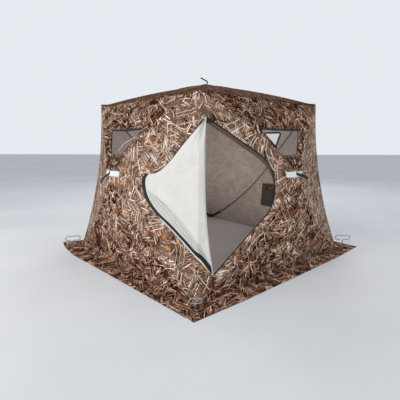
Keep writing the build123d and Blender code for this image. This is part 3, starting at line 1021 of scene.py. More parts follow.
@dataclass(frozen=True)
class Lining:
    """Plain inner cloth with a faint printed grain, and painted shade darkening it along its creases.

    Attributes:
        name: the material's name.
        colour: middle colour.
        grain: how far the grain stands from it.
        grain_scale: how fine the grain is across and along.
        rough: roughness.
        crush: depth of the bump, in metres.
        ghost: colour of the sticks that show through from the other face, if any do.
    """

    name: str
    colour: Colour
    grain: float = 0.25
    grain_scale: tuple[float, float] = (60.0, 9.0)
    rough: float = 0.85
    crush: float = 0.004
    ghost: Colour | None = None

    def build(self) -> bpy.types.Material:
        """Makes the material.

        Returns:
            The material, ready to put on a piece.
        """
        t = Tree(self.name)
        at = t.uv()
        long = t.node("VectorMath", {0: at, 1: (*self.grain_scale, 1.0)}, operation="MULTIPLY").outputs[0]
        streak = t.step(t.noise(long, 1.0, 3.0, 0.6), 0.3, 0.7)
        mottle = t.step(t.noise(at, 7.0, 4.0, 0.65), 0.3, 0.7)
        mottled = t.math("MULTIPLY_ADD", mottle, self.grain * 0.6, 1 - self.grain * 0.8)
        tone = t.math("MULTIPLY_ADD", streak, self.grain, mottled)
        colour = self.colour
        if self.ghost:
            for i, turn in enumerate((0.3, 1.2, -0.7)):
                lay = Reeds(turn, 1.0, 0.14, 0.011, 0.16, 0.45, 0.8, ((0.0, self.ghost),), 0.0)
                colour = t.sticks(at, at, colour, lay, i + 1)
            colour = t.mix(0.55, colour, self.colour)
        colour = t.mix(1.0, colour, t.grey(tone), "MULTIPLY")
        # Painted shade: where the crease layer is high, the colour darkens toward three tenths of itself,
        # shade laid into the tucks.
        crease = t.node("Attribute", attribute_name=CREASE_SHADE).outputs["Fac"]
        colour = t.mix(t.math("MULTIPLY", crease, 0.75), colour, tuple(c * 0.30 for c in self.colour))
        height = t.math("MULTIPLY_ADD", t.noise(at, 700.0, 1.0), 0.15, t.noise(at, 11.0, 4.0, 0.6))
        return t.shade(
            height, self.crush, 0.5,
            Base_Color=colour, Roughness=self.rough, Specular_IOR_Level=0.2, Sheen_Weight=0.1,
        )


@dataclass(frozen=True)
class Webbing:
    """Black woven tape, zip tape or hook tape with a fine rib."""

    name: str
    colour: Colour = (0.018, 0.018, 0.019)
    rib: float = 450.0
    rough: float = 0.7

    def build(self) -> bpy.types.Material:
        """Makes the material.

        Returns:
            The material, ready to put on a piece.
        """
        t = Tree(self.name)
        at = t.place()
        ribs = {"Vector": at, "Scale": self.rib, "Distortion": 0.6}
        wave = t.node("TexWave", ribs, bands_direction="DIAGONAL").outputs[1]
        dust = t.step(t.noise(at, 30.0, 3.0), 0.45, 0.8)
        colour = t.mix(t.math("MULTIPLY", dust, 0.25), self.colour, (0.10, 0.10, 0.10))
        return t.shade(wave, 0.0008, 0.6, Base_Color=colour, Roughness=self.rough, Specular_IOR_Level=0.3)


@dataclass(frozen=True)
class Solid:
    """Moulded or metal surface with a little wear."""

    name: str
    colour: Colour
    worn: Colour
    metal: float = 0.0
    rough: tuple[float, float] = (0.35, 0.6)

    def build(self) -> bpy.types.Material:
        """Makes the material.

        Returns:
            The material, ready to put on a piece.
        """
        t = Tree(self.name)
        at = t.place()
        wear = t.step(t.noise(at, 60.0, 5.0, 0.7), 0.45, 0.75)
        fine = t.noise(at, 400.0, 3.0)
        rough = t.node("MapRange", {0: fine, 3: self.rough[0], 4: self.rough[1]}).outputs[0]
        colour = t.mix(wear, self.colour, self.worn)
        return t.shade(fine, 0.0004, 0.4, Base_Color=colour, Roughness=rough, Metallic=self.metal)


@dataclass(frozen=True)
class Film:
    """Clear flexible window film."""

    name: str
    alpha: float = 0.15
    colour: Colour = (0.10, 0.094, 0.09)

    def build(self) -> bpy.types.Material:
        """Makes the material.

        Returns:
            The material, ready to put on a piece.
        """
        t = Tree(self.name)
        haze = t.step(t.noise(t.place(), 6.0, 3.0), 0.4, 0.75)
        alpha = t.math("MULTIPLY_ADD", haze, 0.04, self.alpha)
        return t.shade(
            t.noise(t.place(), 9.0, 2.0), 0.004, 0.3,
            Base_Color=self.colour, Roughness=0.2, Alpha=alpha, Specular_IOR_Level=0.2,
        )


class Finishes:
    """Every material of the hut, made once."""

    def __init__(self) -> None:
        """Makes the materials."""
        # Painted light and shade: copies of one reed print whose tints and contrast are set region by
        # region, so the corners read lighter and the lower walls, upper walls, roof and skirt darker, as
        # light falls on each.
        self.camo = ReedCloth(
            "reed_cloth", (2.38, 2.42, 2.52), 0.98, 0.50, contrast=1.65, saturation=0.97
        ).build()
        self.lower = ReedCloth(
            "reed_cloth_lower_shaded", (2.82, 2.76, 2.84), 1.1, 0.20, contrast=1.95, saturation=1.0, pool=0.22
        ).build()
        self.upper = ReedCloth(
            "reed_cloth_upper_shaded", (2.08, 1.98, 1.98), 1.05, 0.22, contrast=2.0, saturation=0.98, pool=0.2
        ).build()
        self.roof = ReedCloth("reed_cloth_roof_shaded", (0.66, 0.49, 0.40), 1.15, 0.24).build()
        self.hem = ReedCloth(
            "reed_cloth_hem_shaded", (1.98, 1.72, 1.64), 1.2, 0.20, contrast=1.85, saturation=0.92, pool=0.30
        ).build()
        self.lining = Lining("taupe_lining", (0.38, 0.327, 0.305), ghost=(0.60, 0.535, 0.50)).build()
        self.ivory = Lining(
            "ivory_lining", (0.80, 0.79, 0.74), 0.05, (14.0, 6.0), 0.75, 0.006, (0.88, 0.87, 0.84)
        ).build()
        self.guard = Lining("guard_cloth", (0.135, 0.095, 0.070), 0.3, (30.0, 30.0)).build()
        self.patch = Lining("bare_patch", (0.93, 0.93, 0.92), 0.04, (40.0, 40.0), 0.6, 0.001).build()
        self.mesh = Lining("pocket_mesh", (0.070, 0.057, 0.055), 0.4, (180.0, 180.0), 0.8, 0.002).build()
        self.webbing = Webbing("black_webbing").build()
        self.zip = Webbing("zip_tape", (0.014, 0.014, 0.015), 700.0, 0.55).build()
        self.rod = Solid("rod_fibreglass", (0.012, 0.012, 0.012), (0.05, 0.05, 0.05)).build()
        self.moulded = Solid(
            "hub_plastic", (0.015, 0.015, 0.015), (0.06, 0.06, 0.06), rough=(0.45, 0.65)
        ).build()
        self.steel = Solid(
            "anchor_steel", (0.42, 0.44, 0.47), (0.25, 0.27, 0.30), metal=1.0, rough=(0.28, 0.5)
        ).build()
        self.eyelet = Solid(
            "grommet_metal", (0.35, 0.34, 0.32), (0.15, 0.14, 0.13), metal=1.0, rough=(0.35, 0.55)
        ).build()
        self.film = Film("window_film").build()
        # Painted highlight: a pale, half-opaque film that stands for light shining off a crease in a pane.
        self.crease = Film("film_crease_highlight", 0.55, (0.72, 0.70, 0.66)).build()


# ---------------------------------------------------------------- cloth


class Print(Enum):
    """How far the print is turned on each kind of facet, in radians."""

    ROOF = 0.9
    UPPER = 0.4
    LOWER = 1.45
    SIDE_A = 0.25
    SIDE_B = -0.5


@dataclass
class Canopy:
    """The hut's roof, walls and corners.

    Attributes:
        shape: the hut's sizes.
        facets: its facets.
        finishes: its materials.
        rows: segments along each side of a facet.
        hole_rows: rows from a hole to the facet's edge.
        seam_wide: half the width of a bound seam.
        seam_high: half its thickness.
        windows: outline of the window in each wall.
        door: outline of the doorway.
    """

    shape: HutShape
    facets: dict[tuple[str, str], Facet]
    finishes: Finishes
    rows: int = 44
    hole_rows: int = 22
    seam_wide: float = 0.0085
    seam_high: float = 0.0032
    windows: dict[str, Array] = field(default_factory=dict)
    door: Array = field(default_factory=lambda: np.zeros((0, 2)))

    def cover(self, mesh: SheetMesh, wall: str, name: str, turn: float, hole: Array | None = None) -> None:
        """Adds one facet to a mesh.

        Args:
            mesh: the piece it is part of.
            wall: the wall.
            name: the facet's name.
            turn: how far its print is turned, in radians.
            hole: outline of a hole in it, in its working plane.
        """
        f = self.facets[wall, name]
        if hole is None:
            u, v = grid(self.rows, self.rows)
        else:
            u, v = ring_grid(f, hole, self.rows, self.hole_rows)
        p = f.surface(u, v)
        p[..., 2] = np.maximum(p[..., 2], CLOTH_FLOOR)
        uv = print_coords(f.point(u, v), f, turn, 1.7 * f.seed)
        mesh.add(p, uv, wrap=hole is not None)

    def cloth(
        self,
        mesh: SheetMesh,
        area: float,
        flat: tuple[float, float],
        nodes: list[str],
        finish: bpy.types.Material,
    ) -> None:
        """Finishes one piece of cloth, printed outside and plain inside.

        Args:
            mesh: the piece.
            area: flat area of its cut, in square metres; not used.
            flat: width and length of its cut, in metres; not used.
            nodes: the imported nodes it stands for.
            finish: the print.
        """
        both = [finish, self.finishes.lining]
        ob = place(mesh, "camo_cloth", both, *nodes, thickness=self.shape.cloth, inner_slot=1)

    @staticmethod
    def area(facet: Facet, hole: Array | None = None) -> float:
        """Flat area of a facet's cut.

        Args:
            facet: the facet.
            hole: outline of a hole in it.

        Returns:
            Square metres, without the hole.
        """
        u, v = grid(40, 40)
        p = facet.point(u, v)
        cells = np.cross(p[1:, :-1] - p[:-1, :-1], p[:-1, 1:] - p[:-1, :-1])
        total = float(np.linalg.norm(cells, axis=-1).sum())
        if hole is not None:
            x, y = hole.T
            total -= abs(float(x @ np.roll(y, -1) - y @ np.roll(x, -1))) / 2
        return total

    def build(self) -> None:
        """Makes the roof, the walls and the corners."""
        roof = SheetMesh("roof_cloth")
        for w in WALLS:
            self.cover(roof, w, "roof", Print.ROOF.value)
        area = sum(self.area(self.facets[w, "roof"]) for w in WALLS)
        self.cloth(roof, area, (2.05, 2.05), [f"roof_panel_{w}" for w in WALLS], self.finishes.roof)
        for w in WALLS:
            upper = SheetMesh(f"upper_cloth_{w}")
            self.cover(upper, w, "upper", Print.UPPER.value, self.windows[w])
            area = self.area(self.facets[w, "upper"], self.windows[w])
            self.cloth(upper, area, (1.9, 0.84), [f"upper_panel_{w}"], self.finishes.upper)
            lower = SheetMesh(f"lower_cloth_{w}")
            self.cover(lower, w, "lower", Print.LOWER.value)
            area = self.area(self.facets[w, "lower"])
            self.cloth(lower, area, (2.4, 1.02), [f"lower_panel_{w}"], self.finishes.lower)
        for k, (left, right) in CORNER_WALLS.items():
            hole = self.door if k == "front" else None
            corner = SheetMesh(f"corner_cloth_{k}")
            self.cover(corner, left, "side_b", Print.SIDE_B.value)
            self.cover(corner, right, "side_a", Print.SIDE_A.value, hole)
            area = self.area(self.facets[left, "side_b"]) + self.area(self.facets[right, "side_a"], hole)
            self.cloth(corner, area, (2.2, 1.85), [f"corner_panel_{k}"], self.finishes.camo)
        self.hub_pads()
        self.seams()

    def hub_pads(self) -> None:
        """Doubled cloth over each hub."""
        pads = SheetMesh("hub_pads")
        u, v = grid(8, 8)
        lap = 0.08
        for w in WALLS:
            f = self.facets[w, "hub"]
            p = f.surface(u * (1 + 2 * lap) - lap, v * (1 + 2 * lap) - lap, 0.0006)
            pads.add(p, print_coords(p, f, 0.3, 4.4))
        corner = HutShape.tail(self.shape.roof_rod("right"), self.shape.hub_t)[0]
        half, z = 0.5 * math.sqrt(2) * float(corner[0]), float(corner[2])
        flat = np.stack([(u - 0.5) * 2.0 * half, (v - 0.5) * 2.0 * half, np.full(u.shape, z + 0.001)], -1)
        eighth = 0.785
        cos, sin = math.cos(eighth), math.sin(eighth)
        p = flat @ np.array([[cos, sin, 0], [-sin, cos, 0], [0, 0, 1]])
        pads.add(p, p[..., :2] + 3.0)
        both = [self.finishes.camo, self.finishes.lining]
        place(pads, "hub_patch", both, "hub_patches", thickness=self.shape.cloth, inner_slot=1)

    def seams(self) -> None:
        """Bound seams along every rod, the roof edges and the corners."""
        s = self.shape
        upper = [s.roof_rod(k) for k in CORNERS]
        lower = [s.corner_line(k) for k in CORNERS if k != "front"]
        for w, (a, b) in WALLS.items():
            lower += [s.tail(s.rod(w, k, up), s.hub_t) for k in (a, b) for up in (True, False)]
            upper.append(np.array([s.top(a), (s.top(a) + s.top(b)) / 2, s.top(b)]))
        self.bind("seam_binding", lower, self.finishes.camo)
        self.bind("roof_seam_binding", upper, self.finishes.roof)

    def bind(self, name: str, lines: list[Array], finish: bpy.types.Material) -> None:
        """One piece of bound seam, a flat tube along each line.

        Args:
            name: the piece's name.
            lines: control points of each seam.
            finish: the cloth it is bound in.
        """
        mesh = SheetMesh(name)
        t = np.linspace(0, 1, 49)
        ring = np.linspace(0, 2 * math.pi, 9)[:-1]
        beside, off = (self.seam_wide * np.cos(ring))[None], (self.seam_high * np.sin(ring))[None]
        for i, c in enumerate(lines):
            path, way = ears(bernstein(t) @ c), unit(slopes(t) @ c)
            tube = flat_tube(path, way, beside, off)
            tube[..., 2] = np.maximum(tube[..., 2], TAPE_FLOOR)
            length = np.linalg.norm(c[2] - c[0])
            uv = np.stack(np.broadcast_arrays(t[:, None] * length, ring[None] * 0.004), -1) + 0.9 * i
            mesh.add(tube, uv, wrap=True)
        place(mesh, "camo_cloth", [finish])


# ---------------------------------------------------------------- windows


@dataclass
class Windows:
    """A clear window, its bound edge, its let-down cover and hook tabs on each wall.

    Sizes are in metres in an upper facet's working plane, y down from the roof's edge.

    Attributes:
        facets: the hut's facets.
        finishes: its materials.
        top_y: the window's upper edge.
        low_y: its lower edge.
        top_half: half the length of its upper edge.
        low_half: half the length of its lower edge.
        shift: how far its middle lies from the facet's.
        rounding: radius of its corners.
        lap: how far the film runs on behind the cloth.
        crease: start, middle and end of the painted highlight along a crease in one pane.
        crease_profile: (sideways, height) across that highlight strip.
        bands: material slot and (sideways, height) profile of each band round the window.
        top_tape: (sideways, height) across the tape along its upper edge.
        tape_in: how far that tape lies above the edge.
        tape_past: how far it runs past each corner.
        tabs: x, y, width, height and lift of each hook tab.
        cover_top: half the cover's width at its upper edge.
        cover_low: half its width at its lower edge.
        cover_gap: how far below the window it starts.
        cover_drop: how far down it hangs.
    """

    facets: dict[tuple[str, str], Facet]
    finishes: Finishes
    top_y: float = 0.366
    low_y: float = 0.648
    top_half: float = 0.322
    low_half: float = 0.121
    shift: float = 0.017
    rounding: float = 0.012
    lap: float = 0.004
    crease: Profile = ((0.285, 0.450), (0.085, 0.508), (0.012, 0.605))
    crease_profile: Profile = ((-0.007, -0.001), (0.0, 0.002), (0.007, -0.001))
    bands: tuple[tuple[int, Profile], ...] = (
        (0, ((-0.0035, 0.0004), (-0.006, 0.0034), (-0.014, 0.0032), (-0.0175, 0.0004))),
        (1, ((0.001, -0.0035), (0.0015, 0.0020), (-0.001, 0.0026), (-0.0038, 0.0016))),
        (1, ((0.003, -0.0040), (0.002, -0.0062), (-0.022, -0.0066), (-0.024, -0.0045))),
    )
    top_tape: Profile = ((0.009, 0.001), (0.008, 0.0052), (-0.004, 0.0056), (-0.006, 0.001))
    tape_in: float = 0.009
    tape_past: float = 0.012
    tabs: tuple[tuple[float, float, float, float, float], ...] = (
        (-0.264, 0.514, 0.032, 0.078, 0.003),
        (0.272, 0.536, 0.020, 0.066, 0.003),
        (-0.074, 0.708, 0.042, 0.036, 0.013),
        (0.106, 0.706, 0.040, 0.034, 0.013),
    )
    cover_top: float = 0.170
    cover_low: float = 0.100
    cover_gap: float = 0.020
    cover_drop: float = 0.135

    @staticmethod
    def sense(wall: str) -> int:
        """1 where a wall's second corner is the front or back one, else -1."""
        return 1 if WALLS[wall][1] in ("front", "back") else -1

    def outline(self, wall: str) -> Array:
        """The hole in an upper facet.

        Args:
            wall: the wall.

        Returns:
            The outline's points in the facet's working plane.
        """
        top, low = self.top_half, self.low_half
        corners = [(-top, self.top_y), (top, self.top_y), (low, self.low_y), (-low, self.low_y)]
        ring = rounded(corners, [self.rounding] * len(corners))
        return ring + np.array([self.shift * self.sense(wall), 0.0])

    def build(self) -> None:
        """Makes the four windows."""
        film, bind = SheetMesh("window_films"), SheetMesh("window_bindings")
        covers, tabs = SheetMesh("window_flaps"), SheetMesh("hook_tabs")
        for w in WALLS:
            f, way = self.facets[w, "upper"], self.sense(w)
            self.pane(film, f, self.shift * way, w == "front_left")
            self.bindings(bind, f, self.shift * way, self.outline(w))
            self.cover(covers, f, self.shift * way)
            a, b = grid(4, 4)
            for x, y, wide, tall, high in self.tabs:
                tabs.add(f.lift(np.stack([x * way + (a - 0.5) * wide, y + (b - 0.5) * tall], -1), high))
        own = self.finishes
        place(film, "window_film", [own.film, own.crease], "window_panes")
        place(bind, "window_binding", [own.upper, own.webbing], "window_frames")
        place(covers, "cover_cloth", [own.upper], "window_covers", thickness=0.0015, offset=1.0)
        place(tabs, "velcro", [own.webbing], "velcro_tabs", thickness=0.002, offset=1.0)

    def pane(self, film: SheetMesh, f: Facet, mid: float, creased: bool) -> None:
        """One clear pane.

        Args:
            film: the mesh of all panes.
            f: the facet it is in.
            mid: the window's middle across the facet.
            creased: whether a pale painted highlight lies along a crease in it.
        """
        s, t = grid(14, 22)
        half = self.top_half + (self.low_half - self.top_half) * s + self.lap
        y = self.top_y - self.lap + (self.low_y - self.top_y + 2 * self.lap) * s
        xy = np.stack([mid + (2 * t - 1) * half, y], -1)
        film.add(f.lift(xy, -0.0022 + 0.0015 * ripple(xy[..., 0], xy[..., 1], 0.2, 5)), xy)
        # Painted highlight: one pane gets a pale strip where its crease would catch the light.
        if creased:
            film.add(strip_on(f, self.smooth_path(self.crease), self.crease_profile), slot=1)

    def bindings(self, bind: SheetMesh, f: Facet, mid: float, hole: Array) -> None:
        """The bands sewn round one window, and the tape above it.

        Args:
            bind: the mesh of all bindings.
            f: the facet the window is in.
            mid: its middle across the facet.
            hole: its outline.
        """
        for slot, profile in self.bands:
            edge = strip_on(f, hole, profile, closed=True)
            edge = np.concatenate([edge, edge[:1]])
            bind.add(edge, print_coords(edge, f, 0.4, 6.0), slot)
        y = self.top_y - self.tape_in
        start = np.array([mid - self.top_half - self.tape_past, y])
        end = np.array([mid + self.top_half + self.tape_past, y])
        line = start + (end - start) * np.linspace(0, 1, 40)[:, None]
        bind.add(strip_on(f, line, self.top_tape), slot=1)

    @staticmethod
    def smooth_path(points: Profile, count: int = 40) -> Array:
        """A smooth curve through three points.

        Args:
            points: its start, middle and end.
            count: how many points to make.

        Returns:
            The curve's points, two columns.
        """
        p = np.array(points)
        t = np.linspace(0, 1, count)
        return bernstein(t) @ np.array([p[0], 2 * p[1] - (p[0] + p[2]) / 2, p[2]])

    def cover(self, covers: SheetMesh, f: Facet, mid: float) -> None:
        """One cover hanging from the window's lower edge.

        Args:
            covers: the mesh of all covers.
            f: the facet it hangs on.
            mid: the window's middle across the facet.
        """
        s, t = grid(16, 24)
        half = self.cover_top + (self.cover_low - self.cover_top) * s
        x = mid + (2 * t - 1) * half
        y = self.low_y + self.cover_gap + self.cover_drop * s
        lift = 0.002 + 0.010 * smooth(s * 1.6) * (0.6 + 0.4 * np.sin(t * 19 + 3 * s))
        p = f.lift(np.stack([x, y], -1), lift)
        covers.add(p, print_coords(p, f, 1.1, 9.0))


# ---------------------------------------------------------------- door


@dataclass
class Door:
    """The diamond-half doorway: zip, wind strip and the flap folded back to the left.

    Sizes are in metres in a side facet's working plane, x from the front corner, y down.

    Attributes:
        facets: the hut's facets.
        finishes: its materials.
        top: the doorway's top.
        hub: its right corner, before that is rounded.
        foot: its foot.
        rounding: radius of its right corner.
        roll: how far the flap's fold stands off the corner.
        flap_edge: the folded flap's free edge on the left facet.
        fold_edge: the line of the fold on the right facet, y then x.
        tucks: share of the flap's width at the corner and at the foot, start and depth of each tuck.
        top_folds: share of the width, depth and end of each soft fold from the top.
        lip: share of the way up to the fold, and shift sideways, of each row of cloth under it.
        tape_rise: share of the way across the zip tape, and its height there.
        zip_profile: (sideways, height) across the doorway's zip.
        guard_profile: (sideways, height) across the wind strip.
        guard_full: how far along the doorway's edge the wind strip keeps its width.
        guard_end: where it ends.
        spine: the fold's points over the corner, filled in as the flap is made.
        rim: the free edge's points, likewise.
    """

    facets: dict[tuple[str, str], Facet]
    finishes: Finishes
    top: tuple[float, float] = (0.075, 0.208)
    hub: tuple[float, float] = (1.100, 0.731)
    foot: tuple[float, float] = (0.160, 1.606)
    rounding: float = 0.375
    roll: float = 0.028
    flap_edge: Profile = (
        (0.06, 0.330), (0.20, 0.452), (0.291, 0.546), (0.394, 0.634), (0.473, 0.681),
        (0.53, 0.692), (0.605, 0.690), (0.650, 0.708), (0.668, 0.755), (0.665, 0.823),
        (0.625, 0.924), (0.528, 1.035), (0.394, 1.150), (0.197, 1.310), (0.06, 1.424),
    )
    fold_edge: Profile = (
        (0.208, 0.075), (0.497, 0.084), (0.763, 0.092), (0.957, 0.099),
        (1.161, 0.113), (1.362, 0.134), (1.606, 0.160),
    )
    tucks: tuple[tuple[float, float, float, float], ...] = (
        (0.93, 0.86, 0.44, 0.8), (0.92, 0.76, 0.43, 1.0), (0.91, 0.66, 0.44, 0.7), (0.90, 0.56, 0.45, 1.0),
        (0.88, 0.46, 0.45, 0.7), (0.87, 0.36, 0.47, 0.9), (0.85, 0.25, 0.49, 0.6),
    )
    top_folds: tuple[tuple[float, float, float], ...] = (
        (0.20, 0.5, 0.24), (0.42, 0.6, 0.20), (0.66, 0.5, 0.17),
    )
    lip: Profile = ((0.0, 0.003), (0.15, -0.003), (0.5, -0.005), (0.85, -0.003))
    tape_rise: Profile = (
        (-0.04, -0.002), (0.0, 0.0012), (0.35, 0.0015), (0.45, 0.0036),
        (0.55, 0.0036), (0.65, 0.0015), (1.0, 0.0012), (1.04, -0.002),
    )
    zip_profile: Profile = (
        (0.003, -0.003), (0.002, 0.001), (0.0, 0.0030), (-0.004, 0.0030), (-0.007, 0.001), (-0.008, -0.002),
    )
    guard_profile: Profile = (
        (-0.02, -0.0065), (0.0, -0.0065), (0.014, -0.0055), (0.034, -0.0065), (0.038, -0.009),
    )
    guard_full: float = 0.70
    guard_end: float = 1.0
    spine: Array = field(default_factory=lambda: np.zeros((0, 1, 2)))
    rim: Array = field(default_factory=lambda: np.zeros((0, 1, 2)))

    def outline(self) -> Array:
        """The doorway, its left side just under the flap's fold.

        Returns:
            The outline's points in the front right facet's working plane.
        """
        o = rounded([self.top, self.hub, self.foot], [0.0, self.rounding, 0.0])
        foot = ((o - np.array(self.foot)) ** 2).sum(1).argmin()
        y = np.linspace(self.foot[1], self.top[1], 110)[1:-1]
        under = 0.003
        x = np.interp(y, *np.array(self.fold_edge).T) - under
        return np.concatenate([o[: foot + 1], np.stack([x, y], -1)])

    def right_edge(self) -> Array:
        """The doorway's edge on its right.

        Returns:
            The outline's points from the doorway's top round the right to its foot.
        """
        o = self.outline()
        a = ((o - np.array(self.top)) ** 2).sum(1).argmin()
        o = np.roll(o, -a, 0)
        b = ((o - np.array(self.foot)) ** 2).sum(1).argmin()
        return o[: b + 1]

    def seam(self, y: Array) -> Array:
        """How far the front corner's seam lies from the chord, on either facet.

        Args:
            y: distance down from the roof corner.

        Returns:
            Distance across the facet's working plane.
        """
        f = self.facets["front_left", "side_b"]
        v = np.linspace(0, 1, 60)
        sx, sy = f.flat(f.point(np.ones(60), v))
        return np.interp(y, sy, sx)

    def over_corner(self, q: Array, y: Array, height: Array | float) -> Array:
        """Points over the front corner: q runs from the right facet, below 0, to the left one.

        Args:
            q: distance from the corner seam, in metres.
            y: distance down from the roof corner.
            height: how far off the cloth.

        Returns:
            The points.
        """
        left, right = self.facets["front_left", "side_b"], self.facets["front_right", "side_a"]
        h = np.zeros(q.shape) + height
        seam = self.seam(y)
        ul, vl = left.solve(seam + np.maximum(q, 0), y)
        ur, vr = right.solve(seam + np.maximum(-q, 0), y)
        rounded_half = 0.03
        blend = smooth((q + rounded_half) / (2 * rounded_half))[..., None]
        base = np.where((q >= 0)[..., None], left.surface(ul, vl), right.surface(ur, vr))
        n = unit(left.normal(ul, vl) * blend + right.normal(ur, vr) * (1 - blend))
        return base + n * h[..., None]

    def free_edge(self, share: Array) -> Array:
        """The folded flap's free edge, softened at its knots.

        Args:
            share: share of the way along it.

        Returns:
            Distance from the corner's seam and distance down, two columns.
        """
        left = np.array(self.flap_edge)
        left[:, 0] -= self.seam(left[:, 1])
        ends = [(-(p[0] - float(self.seam(np.array(p[1])))), p[1]) for p in (self.top, self.foot)]
        edge = np.concatenate([[ends[0]], left, [ends[1]]])
        run = run_length(edge)
        e = np.stack([np.interp(share * run[-1], run, edge[:, i]) for i in (0, 1)], -1)
        pad = 3
        wide = np.concatenate([np.repeat(e[:1], pad, 0), e, np.repeat(e[-1:], pad, 0)])
        soft = sum(wide[i : i + len(e)] for i in range(2 * pad + 1)) / (2 * pad + 1)
        soft[0], soft[-1] = e[0], e[-1]
        return soft

    def flap(self) -> None:
        """The flap, its lining outward, gathered toward its foot."""
        s, t = grid(180, 190)
        t = 1 - (1 - t) ** 1.3
        edge = self.free_edge(s[:, 0])
        ex, ey = edge[:, :1], edge[:, 1:]
        tall = self.foot[1] - self.top[1]
        f = 0.12 * s[:, :1] + 0.88 * np.clip((ey - self.top[1]) / tall, 0, 1)
        f[0], f[-1] = 0.0, 1.0
        f = np.maximum.accumulate(f, 0)
        fy = self.top[1] + tall * f
        door = self.seam(fy) - np.interp(fy, *np.array(self.fold_edge).T)
        stand = self.stand(f)
        fx = door + self.roll * 0.56 * stand
        self.spine, self.rim = np.stack([fx, fy], -1), np.stack([ex, ey], -1)
        main = self.lay(f, t)
        lip = [
            self.over_corner(door + (fx - door) * k + a, fy, TAPE_FLOOR + (self.roll * stand + 0.009) * k)
            for k, a in self.lip
        ]
        p = np.concatenate([*lip, main[:, :2]], 1)
        mesh = SheetMesh("door_flap_cloth")
        mesh.add(p, np.stack(np.broadcast_arrays(np.arange(p.shape[1]) * 0.005, fy), -1), 2)
        # The tuck depths also fill the crease layer, by which the lining paints shade into the tucks.
        mesh.add(main[:, 1:], self.spread(t)[:, 1:], crease=self.folds(f, t)[:, 1:])
        ivory, camo = self.finishes.ivory, self.finishes.camo
        faces = [ivory, camo, ivory, ivory]
        ob = place(mesh, "flap_lining", faces, "door_flap", thickness=0.003, inner_slot=1)
        self.flap_zip(f)

    @staticmethod
    def stand(f: Array) -> Array:
        """How fully the fold stands off the corner, falling to 0 at the door's top and foot."""
        return smooth(np.minimum(f, 1 - f) / 0.16)

    def reach(self) -> Array:
        """Distance from the fold to the free edge, one column."""
        return np.linalg.norm(self.rim - self.spine, axis=-1)

    def spread(self, t: Array) -> Array:
        """Flat places on the folded flap: t is 0 at the fold and 1 at the free edge."""
        return self.spine + (self.rim - self.spine) * t[..., None]

    def lay(self, f: Array, t: Array, lift: Array | float = 0.0) -> Array:
        """Points on the folded flap.

        Args:
            f: share of the way from the door's top to its foot, one column.
            t: share of the way from the fold to the free edge.
            lift: how far off the flap's face.

        Returns:
            The points.
        """
        at = self.spread(t)
        x, y = at[..., 0], at[..., 1]
        belly = np.sin(math.pi * f) ** 0.6 * np.sin(math.pi * np.clip(t, 0, 1)) ** 1.2
        roll = self.roll * self.stand(f) * (1 - smooth(t / 0.30)) + 0.022 * belly * smooth(t / 0.25)
        height = 0.009 + roll + 0.0025 * ripple(x, y, 0.25, 77) * smooth(t / 0.1)
        return self.over_corner(x, y, height - 0.0055 * self.folds(f, t) + lift)

    def folds(self, f: Array, t: Array) -> Array:
        """Tucks that fan from the flap's foot up to its left corner, and soft ones down from its top.

        Args:
            f: share of the way from the door's top to its foot.
            t: share of the way from the fold to the free edge.

        Returns:
            How deep each place is tucked, 0 to 1.
        """
        wide = np.maximum(self.reach(), 0.03)
        h = np.zeros(np.broadcast(f, t).shape)
        tuck_wide, fold_wide, met = 0.006, 0.005, 0.92
        for corner, foot, start, deep in self.tucks:
            at = corner + (foot - corner) * np.clip((f - start) / (met - start), 0, 1) ** 0.6
            tuck = deep * np.exp(-(((t - at) * wide / tuck_wide) ** 2))
            h = h + tuck * smooth((f - start) / 0.07) * smooth((1.0 - f) / 0.05)
        for at, deep, end in self.top_folds:
            h = h + deep * np.exp(-(((t - at) * wide / fold_wide) ** 2)) * smooth((end - f) / 0.15)
        hem, tape = self.band()
        return np.minimum(h, 1.2) * smooth(((1 - t) * wide - hem - tape) / 0.014)

    def band(self) -> tuple[Array, Array]:
        """Where the zip tape lies along the flap's free edge.

        Returns:
            How far the tape stays in from the edge, and its width, one column each.
        """
        edge = run_length(self.rim[:, 0])
        run = (edge / edge[-1])[:, None]
        reach = self.reach()
        hem = 0.001 + 0.021 * smooth((run - 0.62) / 0.06)
        tape = 0.010 + 0.036 * smooth((run - 0.37) / 0.04)
        return np.minimum(hem, 0.2 * reach), np.minimum(tape, 0.7 * reach)

    def flap_zip(self, f: Array) -> None:
        """Zip tape along the flap's free edge, thin at the top and broad below.

        Args:
            f: share of the way from the door's top to its foot, one column.
        """
        hem, width = self.band()
        at, high = np.array(self.tape_rise).T
        across = np.linspace(at[0], at[-1], 37)
        rise = np.interp(across, at, high)
        t = 1 - (hem + width * across) / np.maximum(self.reach(), 0.03)
        lift = np.broadcast_to(rise + 0.0006, t.shape)
        p = self.lay(f, t, lift)
        place(SheetMesh("flap_zip_tape").add(p[2:-2]), "zip_black", [self.finishes.zip], "flap_zip")

    def trims(self) -> None:
        """The zip on the doorway's edge, the wind strip inside, and the pull."""
        f = self.facets["front_right", "side_a"]
        path = self.right_edge()
        line = SheetMesh("door_zip_line").add(strip_on(f, path, self.zip_profile))
        place(line, "zip_black", [self.finishes.zip], "door_zip")
        run = run_length(path)
        part = path[run < self.guard_end]
        run = run[run < self.guard_end]
        taper = 1 - smooth((run - self.guard_full) / (self.guard_end - self.guard_full)) * 0.85
        strip = strip_on(f, part, self.guard_profile, scale=taper)
        uv = np.stack(np.broadcast_arrays(run[:, None], np.arange(strip.shape[1]) * 0.014), -1)
        guard = SheetMesh("wind_strip").add(strip, uv)
        place(guard, "guard_cloth", [self.finishes.guard], "zip_guard", thickness=0.002)
        self.pull(f)

